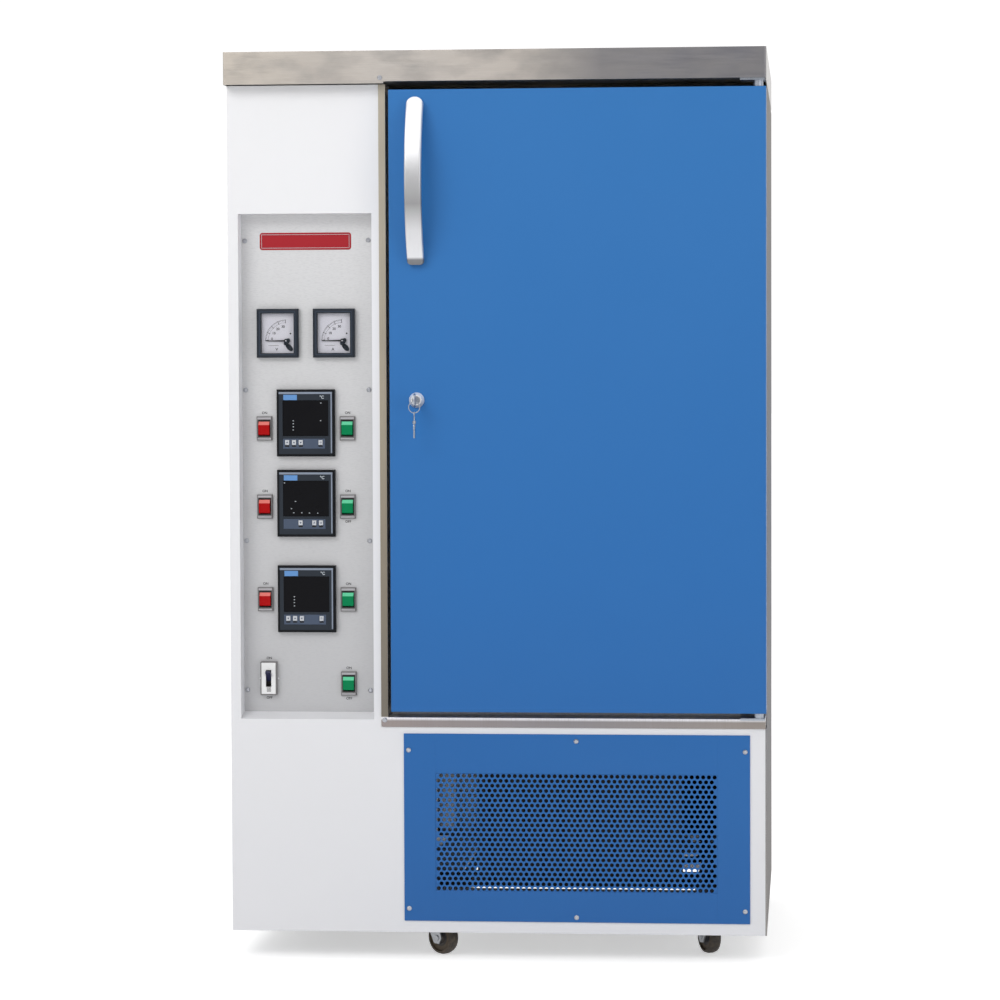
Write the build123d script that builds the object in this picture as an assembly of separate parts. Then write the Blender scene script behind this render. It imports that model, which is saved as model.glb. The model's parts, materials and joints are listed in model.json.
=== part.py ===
from build123d import *

import math
import os

# Environmental test chamber on casters, in millimetres.
# +X is to the right and +Z up; the front faces -Y. The origin is on the floor,
# under the middle of the overall box.

# Cabinet
cabinet_width = 776.0
cap_overlap = 2.0
skirt_height = 40.0
band_bottom = 1267.5
band_height = 47.0
cabinet_depth = 640.0
cap_overhang = 23.0
sheet = 1.5
steel_cladding = 2.0
bend_radius = 3.0

# Door and handle
door_cover = 1.5
door_top_gap = 3.5
door_thickness = 60.0
door_proud = 20.0
door_gap_side = 6.5
door_gap_bottom = 10.0
handle_reach = 45.0
handle_length = 240.0
handle_width = 24.0
handle_thickness = 9.0
handle_foot_length = 30.0
handle_from_edge = 39.5
handle_top_gap = 11.0
lock_drop = 445.0
lock_radius = 11.0
lock_height = 9.0
plug_radius = 5.5
cam_catch = 3.0
key_hole_radius = 2.6
running_fit = 0.05
clearance = 0.3
gasket_width = 16.0
gasket_thickness = 6.0
gasket_overlap = 20.0
inner_panel_inset = 12.0
inner_panel_rise = 14.0
inner_panel_edge = 2.0

# Steel surround of the door
strip_width = 10.0
bar_height = 14.0
strip_proud = 1.5
column_width = 220.5
side_top_gap = 5.5

# Pivot hinges of the door
pivot_inset = 11.0
pivot_radius = 4.0
pivot_depth = 10.0
bracket_thickness = 3.0
bush_radius = 8.0
bush_length = 14.0

# Insulated chamber
wall_insulation = 62.0
jamb_insulation = 66.0
ceiling_rise = 72.0
chamber_bottom_rise = 71.5
motor_space = 51.0
liner_sheet = 1.5
plenum_depth = 88.0
shelf_heights = (190.0, 470.0)
shelf_thickness = 3.0
shelf_front_gap = 22.0
shelf_back_gap = 8.0
rail_width = 12.0
rail_thickness = 3.0
shelf_slots = 14
slot_width = 14.0

# Recessed control plate
recess_width = 194.5
recess_height = 733.0
recess_left_inset = 15.0
recess_sill = 350.0
recess_depth = 30.0
sill_rise = 8.0
plate_thickness = 2.0
plate_margin = 10.0
plate_screw_inset = 5.0
plate_screw_heights = (39.5, 258.0, 478.0, 695.0)

# Instruments on the plate, measured from its left edge and its sill
meter_size = (61.0, 71.0)
meter_places = ((53.5, 560.5), (136.0, 560.5))
meter_proud = 11.0
meter_rim = 6.5
meter_barrel_depth = 42.0
dial_thickness = 1.0
window_thickness = 1.5
needle_length = 30.0
controller_size = (85.0, 97.5)
controller_places = ((94.0, 430.0), (94.0, 313.0), (94.0, 173.5))
controller_proud = 10.0
controller_body_depth = 70.0
controller_rim = 6.0
key_size = (6.0, 7.0)
key_height = 20.5
key_columns = ((15.5, 25.5, 35.5, 64.5), (34.5, 54.5, 64.5), (15.5, 25.5, 35.5, 64.5))
display_height = 52.0
switch_size = (22.5, 35.0)
switch_places = (
    ("red_1", 32.5, 422.0),
    ("red_2", 32.5, 308.0),
    ("red_3", 32.5, 172.5),
    ("green_1", 154.5, 422.0),
    ("green_2", 154.5, 308.0),
    ("green_3", 154.5, 172.5),
    ("green_4", 154.5, 49.5),
)
switch_proud = 5.0
switch_body_depth = 32.0
rocker_size = (16.0, 21.0)
rocker_top = (2.3, 10.1)
rocker_crest = (6.3, 5.2)
rocker_bottom = (5.5, 8.8)
rocker_back = 4.0
rocker_pivot_depth = 1.8
rocker_depth = 12.0
breaker_size = (24.0, 49.0)
breaker_place = (37.0, 57.0)
breaker_proud = 8.0
breaker_body_depth = 60.0
lever_width = 7.0
lever_reach = 12.0

# Grille panel
grille_right_inset = 22.0
grille_height = 273.0
grille_left_inset = 32.5
grille_bottom = 57.0
grille_thickness = 1.5
hole_margin = (47.0, 49.5)
hole_pitch = 20.0
hole_flats = 12.5
grille_corner_screws = (7.0, 24.0)
grille_middle_screw = 10.0
screw_radius = 3.5
screw_height = 2.2

# Base frame and casters
frame_height = 30.0
frame_clearance = 8.0
frame_wall = 3.0
frame_flange = 40.0
frame_bottom = 68.0
post_size = 30.0
wheel_radius = 25.0
wheel_width = 18.0
hub_width = 21.0
hub_radius = 9.0
axle_radius = 4.0
caster_offset = 22.0
caster_plate = 60.0
caster_plate_thickness = 3.0
raceway_radius = 18.0
raceway_height = 8.0
kingpin_radius = 5.0
fork_thickness = 2.5
fork_side_gap = 0.6
front_caster_inset = 66.0
rear_caster_inset = 80.0
caster_left_inset = 66.5
caster_right_inset = 73.0
front_caster_angle = {"left": -40.0, "right": 118.0}

# Machinery
fan_radius = 78.0
fan_drop = 110.0
heater_drop = 150.0
heater_inset = 77.0
heater_rods = 4
heater_pitch = 28.0
heater_radius = 4.0
duct_slot_inset = 57.0
duct_slot_height = 7.0
duct_slot_pitch = 16.0
duct_slots = 5
evaporator_inset = 57.0
evaporator_rise = 180.0
evaporator_depth = 50.0
evaporator_grooves = 9
coil_groove = 8.0
pan_width = 180.0
pan_height = 45.0
probe_inset = 40.0
probe_drop = 190.0
tray_depth = 260.0
tray_rear_gap = 52.5
tray_rise = 100.0
tray_height = 450.0
relay_size = (40.0, 55.0, 80.0)
relay_pitch = (75.0, 140.0)
compressor_inset = (70.0, 150.0)
vent_slot = (110.0, 8.0)
vent_pitch = (150.0, 22.0)
vent_rows = 6
bracket_reach = 26.0
shoulder_radius = 7.0
fan_hub_radius = 22.0
fan_blades = 6
fan_blade_angle = 32.0
fan_blade_thickness = 2.0
fan_depth = 26.0
fan_shaft_radius = 4.0
motor_radius = 38.0
motor_length = 44.0
compressor_radius = 72.0
compressor_height = 190.0
condenser_size = (300.0, 44.0, 200.0)
condenser_fan_radius = 88.0
pipe_radius = 5.0

# Places worked out from the sizes
half_width = cabinet_width / 2
cap_half = half_width + cap_overlap
overall_depth = cabinet_depth + door_proud + handle_reach
handle_front = -overall_depth / 2
door_front = handle_front + handle_reach
door_back = door_front + door_thickness
fascia = door_front + door_proud
rear = fascia + cabinet_depth
seat = door_back + gasket_thickness
strip_right = -half_width + column_width + strip_width
strip_left = -half_width + column_width
door_left = strip_right + door_gap_side
door_right = half_width + door_cover
bar_bottom = recess_sill - 10.5
bar_top = bar_bottom + bar_height
door_bottom = bar_top + door_gap_bottom
side_top = band_bottom - side_top_gap
door_top = side_top - door_top_gap
band_top = band_bottom + band_height
pivot_x = door_right - pivot_inset
pivot_y = door_front + pivot_depth
chamber_right = half_width - sheet - steel_cladding - wall_insulation
chamber_left = strip_right + jamb_insulation
chamber_bottom = bar_top + chamber_bottom_rise
chamber_top = side_top - ceiling_rise
liner_front = seat + sheet
liner_back = rear - motor_space - wall_insulation - liner_sheet
duct_y = liner_back - plenum_depth
insulation_back = liner_back + liner_sheet + wall_insulation
recess_left = -half_width + recess_left_inset
recess_right = recess_left + recess_width
recess_top = recess_sill + recess_height
plate_front = fascia + recess_depth
plate_back = plate_front + plate_thickness
plate_bottom = recess_sill + sill_rise
grille_left = strip_left + grille_left_inset
grille_right = half_width - grille_right_inset
grille_top = grille_bottom + grille_height
grille_front = fascia - grille_thickness
handle_x = door_left + handle_from_edge
handle_top = door_top - handle_top_gap
handle_bottom = handle_top - handle_length
lock_z = door_top - lock_drop
frame_top = frame_bottom + frame_height
deck_top = bar_top + sheet
fan_x = (chamber_left + chamber_right) / 2
fan_z = chamber_top - fan_drop
heater_z = fan_z - heater_drop
shelf_y = (liner_front + shelf_front_gap, duct_y - shelf_back_gap)
caster_x = {"left": strip_left + caster_left_inset, "right": half_width - caster_right_inset}


def block(x, y, z):
    """A box from the low and high value on each axis."""
    size = [high - low for low, high in (x, y, z)]
    middle = [(low + high) / 2 for low, high in (x, y, z)]
    return Pos(*middle) * Box(*size)


def facing(sketch, front, back):
    """A flat sketch in X and Z, given depth from the front plane to the back plane."""
    plane = Plane(origin=(0, back, 0), x_dir=(1, 0, 0), z_dir=(0, -1, 0))
    return extrude(plane * sketch, back - front)


def from_side(points, left, right):
    """An outline in Y and Z, drawn out along X."""
    plane = Plane(origin=(left, 0, 0), x_dir=(0, 1, 0), z_dir=(1, 0, 0))
    return extrude(plane * make_face(Polyline(*points, close=True)), right - left)


def rod(start, end, radius):
    """A round bar between two points."""
    line = Vector(*end) - Vector(*start)
    plane = Plane(origin=start, z_dir=line)
    return extrude(plane * Circle(radius), line.length)


def rectangle(x, z):
    """A rectangle in X and Z from the low and high value on each axis."""
    return Pos((x[0] + x[1]) / 2, (z[0] + z[1]) / 2) * Rectangle(x[1] - x[0], z[1] - z[0])


def centred(centre, half):
    """The low and high value at one distance either side of a centre."""
    return (centre - half, centre + half)


def on_plate(place):
    """The X and Z of a place on the control plate."""
    return recess_left + place[0], recess_sill + place[1]


def channel(x, y, z, open_x, open_y):
    """Folded channel along X or Y, open towards the given side."""
    hollow_x = (x[0] + frame_wall * (open_x > 0), x[1] - frame_wall * (open_x < 0))
    hollow_y = (y[0] + frame_wall * (open_y > 0), y[1] - frame_wall * (open_y < 0))
    return block(x, y, z) - block(hollow_x, hollow_y, (z[0] + frame_wall, z[1] - frame_wall))


def base_frame():
    """Welded frame: a ring of channels, two caster rails, four posts and a deck."""
    ring_x = (-half_width + frame_clearance, half_width - frame_clearance)
    ring_y = (fascia + frame_clearance, rear - frame_clearance)
    height = (frame_bottom, frame_top)
    between = (ring_y[0] + frame_flange, ring_y[1] - frame_flange)
    members = [
        channel(ring_x, (ring_y[0], between[0]), height, 0, 1),
        channel(ring_x, (between[1], ring_y[1]), height, 0, -1),
        channel((ring_x[0], ring_x[0] + frame_flange), between, height, 1, 0),
        channel((ring_x[1] - frame_flange, ring_x[1]), between, height, -1, 0),
    ]
    for x in caster_x.values():
        members.append(channel(centred(x, caster_plate / 2), between, height, 1, 0))
    posts_x = (chamber_left - wall_insulation, chamber_right + wall_insulation - post_size)
    posts_y = (ring_y[0], ring_y[1] - post_size)
    for x in posts_x:
        for y in posts_y:
            top = bar_bottom if y < 0 else bar_top
            post = block((x, x + post_size), (y, y + post_size), (frame_top, top))
            inward_x = frame_wall if x < fan_x else -frame_wall
            inward_y = frame_wall if y < 0 else -frame_wall
            members.append(post - Pos(inward_x, inward_y, 0) * post)
    deck_x = (posts_x[0], posts_x[1] + post_size)
    members.append(block(deck_x, (liner_front, ring_y[1]), (bar_top, deck_top)))
    return Compound(children=members)


def side_panel(left, right, front, top, inward):
    """Side sheet with a flange turned in along its bottom edge."""
    panel = block((left, right), (front, rear - sheet), (skirt_height, top))
    lip = (right, right + frame_clearance) if inward > 0 else (left - frame_clearance, left)
    return panel + block(lip, (front + sheet, rear - sheet), (skirt_height, skirt_height + sheet))


def left_side_panel():
    return side_panel(-half_width, -half_width + sheet, fascia + sheet, band_bottom, 1)


def right_side_panel():
    """Stainless side, cut back behind the door so that the door's edge covers it."""
    panel = side_panel(half_width, half_width + steel_cladding, fascia, side_top, -1)
    cut = block(
        centred(half_width, 2 * frame_clearance),
        (fascia, seat),
        (bar_bottom, side_top),
    )
    cut += block(
        (half_width - frame_clearance, half_width),
        (fascia, fascia + 2 * sheet),
        (skirt_height, bar_bottom),
    )
    return panel - cut


def rear_panel():
    """Removable back with two fields of cooling slots."""
    panel = rectangle((-half_width + sheet, half_width), (skirt_height, side_top))
    for column in (-0.5, 0.5):
        for row in range(vent_rows):
            place = Pos(fan_x + column * vent_pitch[0], frame_top + 60 + row * vent_pitch[1])
            panel -= place * Rectangle(*vent_slot)
    return facing(panel, rear - sheet, rear)


def top_cap():
    """Stainless lid folded from one sheet, with a lip under its front."""
    across = (-cap_half, cap_half)
    front = fascia - cap_overhang
    outer = block(across, (front, rear), (band_bottom, band_top))
    upright = outer.edges().filter_by(Axis.Z).group_by(Axis.Y)[0]
    outer = fillet(upright, bend_radius)
    inner = block(
        (-cap_half + sheet, cap_half - sheet),
        (front + sheet, rear - sheet),
        (band_bottom, band_top - sheet),
    )
    cap = outer - inner
    notch = bracket_thickness
    lip = (band_bottom + notch, band_bottom + notch + sheet)
    cap += block(
        (-cap_half + sheet, cap_half - sheet), (front + sheet, front + 2 * cap_overhang + 20), lip
    )
    return cap - block(
        (strip_right, cap_half - sheet), (front, front + sheet), (band_bottom, lip[0])
    )


def front_panel():
    """White front with the recess for the control plate folded inwards."""
    outline = rectangle((-half_width, strip_left), (skirt_height, band_bottom))
    outline += rectangle((-half_width, half_width), (skirt_height, bar_bottom))
    outline -= rectangle((recess_left, recess_right), (recess_sill, recess_top))
    margin = 30.0
    outline -= rectangle(
        (grille_left + margin, grille_right - margin),
        (grille_bottom + margin, grille_top - margin),
    )
    panel = facing(outline, fascia, fascia + sheet)
    jamb = rectangle(
        (recess_left - sheet, recess_right + sheet), (recess_sill - sheet, recess_top + sheet)
    )
    opening = rectangle((recess_left, recess_right), (recess_sill, recess_top))
    panel += facing(jamb - opening, fascia, plate_back + sheet)
    window = rectangle(
        (recess_left + plate_margin, recess_right - plate_margin),
        (plate_bottom + plate_margin, recess_top - plate_margin),
    )
    panel += facing(opening - window, plate_back, plate_back + sheet)
    sill = [
        (fascia, recess_sill),
        (plate_front, plate_bottom),
        (plate_back, plate_bottom),
        (plate_back, recess_sill),
    ]
    return panel + from_side(sill, recess_left, recess_right)


def door_frame():
    """Steel surround: strip and bar of channel, gasket seat and the chamber's left skin."""
    front = fascia - strip_proud
    strip = block((strip_left, strip_right), (front, seat), (bar_bottom, band_bottom))
    strip += block((strip_left, half_width), (front, seat), (bar_bottom, bar_top))
    corner = strip.edges().filter_by(Axis.Y).sort_by(Axis.X)[:2].sort_by(Axis.Z)[0]
    strip = fillet(corner, bend_radius)
    strip -= block(
        (strip_left + sheet, strip_right - sheet),
        (front + sheet, seat),
        (bar_bottom + sheet, band_bottom),
    )
    strip -= block(
        (strip_left + sheet, half_width - sheet),
        (front + sheet, seat),
        (bar_bottom + sheet, bar_top - sheet),
    )
    plate = rectangle((strip_left, half_width), (bar_bottom, side_top))
    plate -= rectangle((chamber_left, chamber_right), (chamber_bottom, chamber_top))
    frame = strip + facing(plate, seat, liner_front)
    frame += block(
        (strip_right - sheet, strip_right), (liner_front, insulation_back), (deck_top, side_top)
    )
    keeper = block(
        (strip_right - 2 * sheet, strip_right + sheet),
        centred(cam_middle(), 3.5),
        (lock_z - 9.0, lock_z + 22.0),
    )
    return frame - keeper


def cam_middle():
    """Depth of the lock's cam, which passes through the keeper slot."""
    return fascia + 12.0


def hinge_brackets():
    """Two pivot brackets, each with its pin and a shoulder that the door turns on."""
    plate_x = (pivot_x - bracket_reach, half_width)
    lower = block(plate_x, (pivot_y - 9.0, seat), (bar_top, bar_top + bracket_thickness))
    lower += rod((pivot_x, pivot_y, bar_top), (pivot_x, pivot_y, door_bottom - clearance), shoulder_radius)
    pin_end = door_bottom + bush_length - 2.0
    lower += rod((pivot_x, pivot_y, bar_top), (pivot_x, pivot_y, pin_end), pivot_radius)
    upper_z = (band_bottom, band_bottom + bracket_thickness)
    upper = block(plate_x, (pivot_y - 9.0, fascia + cap_overhang), upper_z)
    upper += rod((pivot_x, pivot_y, band_bottom), (pivot_x, pivot_y, door_top + clearance), shoulder_radius)
    pin_end = door_top - bush_length + 2.0
    upper += rod((pivot_x, pivot_y, band_bottom), (pivot_x, pivot_y, pin_end), pivot_radius)
    return Compound(children=[lower, upper])


def bush(low, high):
    """Brass bush with a running bore for the pivot pin."""
    body = rod((pivot_x, pivot_y, low), (pivot_x, pivot_y, high), bush_radius)
    return body - rod((pivot_x, pivot_y, low), (pivot_x, pivot_y, high), pivot_radius + running_fit)


def door_hinge_bushes():
    lower = bush(door_bottom, door_bottom + bush_length)
    upper = bush(door_top - bush_length, door_top)
    return Compound(children=[lower, upper])


def bush_pockets():
    """The holes that the bushes sit in."""
    lower = rod((pivot_x, pivot_y, door_bottom), (pivot_x, pivot_y, door_bottom + bush_length), bush_radius)
    upper = rod((pivot_x, pivot_y, door_top - bush_length), (pivot_x, pivot_y, door_top), bush_radius)
    return lower + upper


def door_shell():
    """Painted outer skin: a tray with folded edges and the holes for lock and bushes."""
    x, z = (door_left, door_right), (door_bottom, door_top)
    outer = block(x, (door_front, door_back - sheet), z)
    upright = outer.edges().filter_by(Axis.Z).group_by(Axis.Y)[0]
    outer = fillet(upright, sheet)
    inner = block(
        (x[0] + sheet, x[1] - sheet), (door_front + sheet, door_back - sheet), (z[0] + sheet, z[1] - sheet)
    )
    shell = outer - inner - bush_pockets()
    shell -= rod((handle_x, door_front, lock_z), (handle_x, door_front + sheet, lock_z), barrel_radius())
    slot = (lock_z - 10.0, lock_z + handle_from_edge)
    return shell - block((x[0], x[0] + sheet), centred(cam_middle(), 4.0), slot)


def barrel_radius():
    return plug_radius + 3.0


def cam_pocket():
    """Room in the foam for the lock's barrel and cam."""
    barrel = rod((handle_x, door_front, lock_z), (handle_x, cam_middle() + 8.0, lock_z), barrel_radius() + 1.0)
    swing = block(
        (door_left, handle_x + 12.0), centred(cam_middle(), 4.0), (lock_z - 12.0, lock_z + 54.0)
    )
    return barrel + swing


def door_core():
    """Glass-wool filling of the door."""
    core = block(
        (door_left + sheet, door_right - sheet),
        (door_front + sheet, door_back - sheet),
        (door_bottom + sheet, door_top - sheet),
    )
    return core + pressing() - bush_pockets() - cam_pocket()


def door_liner():
    """Stainless inner face with a raised panel that enters the chamber mouth."""
    liner = block((door_left, door_right), (door_back - sheet, door_back), (door_bottom, door_top))
    raised_x = (chamber_left + inner_panel_inset, chamber_right - inner_panel_inset)
    raised_z = (chamber_bottom + inner_panel_inset, chamber_top - inner_panel_inset)
    raised = block(raised_x, (door_back, door_back + inner_panel_rise), raised_z)
    corners = raised.edges().filter_by(Axis.Y)
    raised = fillet(corners, bend_radius)
    raised = chamfer(raised.faces().sort_by(Axis.Y)[-1].edges(), inner_panel_edge)
    return liner + raised - pressing()


def pressing():
    """The hollow behind the liner's raised panel, filled with the door's wool."""
    inset = inner_panel_inset + inner_panel_edge + sheet
    return block(
        (chamber_left + inset, chamber_right - inset),
        (door_back - sheet, door_back + inner_panel_rise - sheet),
        (chamber_bottom + inset, chamber_top - inset),
    )


def door_gasket():
    """Silicone seal around the chamber mouth, with a rounded back."""
    inner = rectangle((chamber_left, chamber_right), (chamber_bottom, chamber_top))
    rim = offset(inner, gasket_overlap + gasket_width / 2) - offset(
        inner, gasket_overlap - gasket_width / 2
    )
    return facing(rim, door_back, seat - clearance)


def door_handle():
    """Bowed pull handle with a foot at each end."""
    chord = handle_length / 2
    middle_z = (handle_top + handle_bottom) / 2
    bow = handle_reach - handle_thickness
    radius = (chord**2 + bow**2) / (2 * bow)
    centre_y = handle_front + radius
    plane = Plane(origin=(handle_x - handle_width / 2, centre_y, middle_z), x_dir=(0, 1, 0), z_dir=(1, 0, 0))
    band = Circle(radius) - Circle(radius - handle_thickness)
    keep = Pos(-radius + handle_reach / 2, 0) * Rectangle(handle_reach, handle_length)
    grip = extrude(plane * (band & keep), handle_width)
    face = grip.faces().sort_by(Axis.Y)[0]
    long_edges = [edge for edge in face.edges() if edge.length > chord]
    grip = fillet(long_edges, handle_thickness / 3)
    outline = Pos(handle_x, middle_z) * Rectangle(handle_width, handle_length)
    outline = fillet(outline.vertices().group_by(Axis.Y)[-1], handle_width * 0.48)
    outline = fillet(outline.vertices().group_by(Axis.Y)[0], handle_width / 4)
    grip &= facing(outline, handle_front, door_front)
    for end in (-1, 1):
        z = middle_z + end * (chord - handle_foot_length / 2)
        foot = block(
            centred(handle_x, handle_width / 2 - 3.0), (door_front - 14.0, door_front), centred(z, 6.0)
        )
        grip += foot
    return grip


def lock_barrel():
    """Chrome rosette and threaded barrel, bored for the turning plug."""
    axis = Plane(origin=(handle_x, door_front, lock_z), x_dir=(1, 0, 0), z_dir=(0, -1, 0))
    depth = cam_middle() - 4.0 - door_front
    outline = Polyline(
        (plug_radius + running_fit, -depth),
        (barrel_radius() - 0.5, -depth),
        (barrel_radius() - 0.5, 0),
        (lock_radius, 0),
        (lock_radius, lock_height * 0.35),
        (lock_radius - 3.5, lock_height),
        (plug_radius + running_fit, lock_height),
        close=True,
    )
    ring = revolve(Plane.XZ * make_face(outline), Axis.Z)
    return axis * ring


def key_hole_place():
    """Middle of the hole in the key's bow, where the ring hangs."""
    return (handle_x, door_front - 34.0, lock_z)


def key_blank(bow_radius, blade_length, thickness):
    """Key drawn flat in Y and Z: a round bow with a hole and a blade towards +Y."""
    bow = Circle(bow_radius) + Pos(bow_radius + blade_length / 2 - 2, 0) * Rectangle(blade_length + 4, 6.0)
    bow -= Pos(-bow_radius + 4.5, 0) * Circle(key_hole_radius)
    return extrude(Plane(origin=(-thickness / 2, 0, 0), x_dir=(0, 1, 0), z_dir=(1, 0, 0)) * bow, thickness)


def lock_plug():
    """Turning plug with its key in it and the cam that catches the frame."""
    back = cam_middle() + 5.0
    plug = rod((handle_x, door_front - lock_height + 1.0, lock_z), (handle_x, back, lock_z), plug_radius)
    reach = handle_from_edge + door_gap_side + cam_catch
    cam = block(centred(handle_x, 6.0), centred(cam_middle(), 1.5), (lock_z - 6.0, lock_z + reach))
    bow_radius = 10.0
    hole = key_hole_place()
    key = key_blank(bow_radius, 12.0, 2.0)
    key = Pos(hole[0], hole[1] + bow_radius - 4.5, hole[2]) * key
    return plug + cam + key


def key_ring():
    """Split ring through the key's bow, with a link and the spare key hanging from it."""
    x, y, z = key_hole_place()
    ring_radius = 8.0
    wire = 1.2
    loop = facing(Circle(ring_radius + wire / 2) - Circle(ring_radius - wire / 2), -wire / 2, wire / 2)
    top = z - key_hole_radius + clearance + wire / 2
    loop = Pos(x, y, top - ring_radius) * loop
    low = top - 2 * ring_radius
    link = facing(Circle(3.4) - Circle(2.2), -0.6, 0.6)
    link = Pos(x, y, low - 1.6) * Rot(0, 0, 90) * link
    chain = rod((x, y, low - 4.2), (x, y, low - 14.0), 0.9)
    bead = rod((x, y, low - 11.5), (x, y, low - 15.5), 2.4)
    spare = Rot(-90, 0, 0) * key_blank(5.5, 10.0, 2.0)
    spare = Pos(x, y, low - 15.5 - 5.0) * spare
    return loop + link + chain + bead + spare


def control_plate():
    """Brushed plate with a cut-out for each instrument."""
    plate = rectangle((recess_left, recess_right), (plate_bottom, recess_top))
    fit = 3.0
    for places, size in ((meter_places, meter_size), (controller_places, controller_size)):
        for place in places:
            x, z = on_plate(place)
            plate -= Pos(x, z) * Rectangle(size[0] - 2 * fit, size[1] - 2 * fit)
    for name, across, up in switch_places:
        x, z = on_plate((across, up))
        plate -= Pos(x, z) * Rectangle(switch_size[0] - fit, switch_size[1] - fit)
    x, z = on_plate(breaker_place)
    plate -= Pos(x, z) * Rectangle(breaker_size[0] - fit, breaker_size[1] - fit)
    return facing(plate, plate_front, plate_back)


def screw_head(x, y, z):
    """Domed screw head standing on a front face."""
    profile = Polyline(
        (0, 0),
        (screw_radius, 0),
        (screw_radius, screw_height * 0.4),
        (screw_radius * 0.6, screw_height),
        (0, screw_height),
        close=True,
    )
    head = revolve(Plane.XZ * make_face(profile), Axis.Z)
    return Plane(origin=(x, y, z), x_dir=(1, 0, 0), z_dir=(0, -1, 0)) * head


def panel_screws():
    """Screws of the control plate, grille panel, cap and surround."""
    heads = []
    for height in plate_screw_heights:
        for x in (recess_left + plate_screw_inset, recess_right - plate_screw_inset - 3.5):
            heads.append(screw_head(x, plate_front, recess_sill + height))
    across, inset = grille_corner_screws
    for x in (grille_left + across, grille_right - across):
        for z in (grille_bottom + inset - 6.0, grille_top - inset):
            heads.append(screw_head(x, grille_front, z))
    middle = (grille_left + grille_right) / 2
    for z in (grille_bottom + grille_middle_screw - 3.0, grille_top - grille_middle_screw):
        heads.append(screw_head(middle, grille_front, z))
    heads.append(screw_head(strip_left + 5.0, fascia - cap_overhang, band_bottom + 8.0))
    heads.append(screw_head(strip_left + 5.0, fascia - strip_proud, bar_top - 4.0))
    return Compound(children=heads)


def meter_case(place):
    """Square panel meter: a rim in front of the plate and a barrel behind it."""
    x, z = on_plate(place)
    front = plate_front - meter_proud
    rim = facing(Pos(x, z) * Rectangle(*meter_size), front, plate_front)
    opening = (meter_size[0] - 2 * meter_rim, meter_size[1] - 2 * meter_rim)
    rim = chamfer(rim.faces().sort_by(Axis.Y)[0].edges(), 2.0)
    rim -= facing(Pos(x, z) * Rectangle(*opening), front, plate_front)
    barrel = (meter_size[0] - 7.0, meter_size[1] - 7.0)
    rim += facing(
        Pos(x, z) * Rectangle(*barrel), plate_front - 3.0, plate_front + meter_barrel_depth
    )
    return rim


def meter_cases():
    return Compound(children=[meter_case(place) for place in meter_places])


def dial_face():
    """Depth of the front of the meters' dials."""
    return plate_front - 3.0 - dial_thickness


def needle_pivot(place):
    """The needle's axis, low on the right of the dial."""
    x, z = on_plate(place)
    return x + 12.0, z - 11.0


def meter_dials():
    """Dial sheets, each with the pivot that carries its needle."""
    dials = []
    for place in meter_places:
        x, z = on_plate(place)
        size = (meter_size[0] - 2 * meter_rim - 0.2, meter_size[1] - 2 * meter_rim - 0.2)
        dial = facing(Pos(x, z) * Rectangle(*size), dial_face(), dial_face() + dial_thickness)
        px, pz = needle_pivot(place)
        dial += rod((px, dial_face(), pz), (px, dial_face() - 3.5, pz), 1.0)
        dials.append(dial)
    return Compound(children=dials)


def meter_needle(place):
    """Pointer with a hub, resting at the left end of its scale."""
    px, pz = needle_pivot(place)
    outline = Polyline(
        (px - needle_length, pz - 0.4),
        (px - needle_length, pz + 0.4),
        (px, pz + 1.2),
        (px + 6.0, pz + 1.2),
        (px + 6.0, pz - 1.2),
        (px, pz - 1.2),
        close=True,
    )
    pointer = make_face(outline) + Pos(px, pz) * Circle(3.0)
    pointer -= Pos(px, pz) * Circle(1.0 + running_fit)
    return facing(pointer, dial_face() - 2.2, dial_face() - 1.2)


def instrument_windows():
    """Clear fronts of the meters and of the controllers' displays."""
    windows = []
    for place in meter_places:
        x, z = on_plate(place)
        size = (meter_size[0] - 2 * meter_rim, meter_size[1] - 2 * meter_rim)
        front = plate_front - meter_proud + 1.0
        windows.append(facing(Pos(x, z) * Rectangle(*size), front, front + window_thickness))
    for place in controller_places:
        x, z = on_plate(place)
        front = plate_front - controller_proud + 1.0
        sketch = Pos(x, display_middle(z)) * Rectangle(*display_size())
        windows.append(facing(sketch, front, front + window_thickness))
    return Compound(children=windows)


def display_size():
    return (controller_size[0] - 3 * controller_rim, display_height)


def display_middle(z):
    return z + 7.0


def key_sketch(place, columns, grow):
    """The keys of one controller, or their openings when grown."""
    x, z = on_plate(place)
    left = x - controller_size[0] / 2
    low = z - controller_size[1] / 2
    sketch = Sketch()
    for column in columns:
        sketch += Pos(left + column, low + key_height) * Rectangle(
            key_size[0] + grow, key_size[1] + grow
        )
    return sketch


def keypad_base(place, columns, grow):
    """The sheet that joins one controller's keys."""
    x, z = on_plate(place)
    left = x - controller_size[0] / 2
    low = z - controller_size[1] / 2
    return rectangle(
        (left + columns[0] - key_size[0] - grow, left + columns[-1] + key_size[0] + grow),
        (low + key_height - key_size[1] - grow, low + key_height + key_size[1] + grow),
    )


def controller_case(place, columns):
    """Panel controller: bezel with display window and keyholes, and a body behind."""
    x, z = on_plate(place)
    front = plate_front - controller_proud
    body = (controller_size[0] - 7.0, controller_size[1] - 7.0)
    case = facing(Pos(x, z) * Rectangle(*controller_size), front, plate_front)
    case = chamfer(case.faces().sort_by(Axis.Y)[0].edges(), 1.5)
    case += facing(Pos(x, z) * Rectangle(*body), plate_front, plate_front + controller_body_depth)
    display = Pos(x, display_middle(z)) * Rectangle(*display_size())
    case -= facing(display, front, front + 1.0 + window_thickness)
    case -= facing(key_sketch(place, columns, 2 * clearance), front, front + 3.0)
    return case - facing(keypad_base(place, columns, clearance), front + 3.0, front + 6.0)


def controller_cases():
    pairs = zip(controller_places, key_columns)
    return Compound(children=[controller_case(place, columns) for place, columns in pairs])


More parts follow.
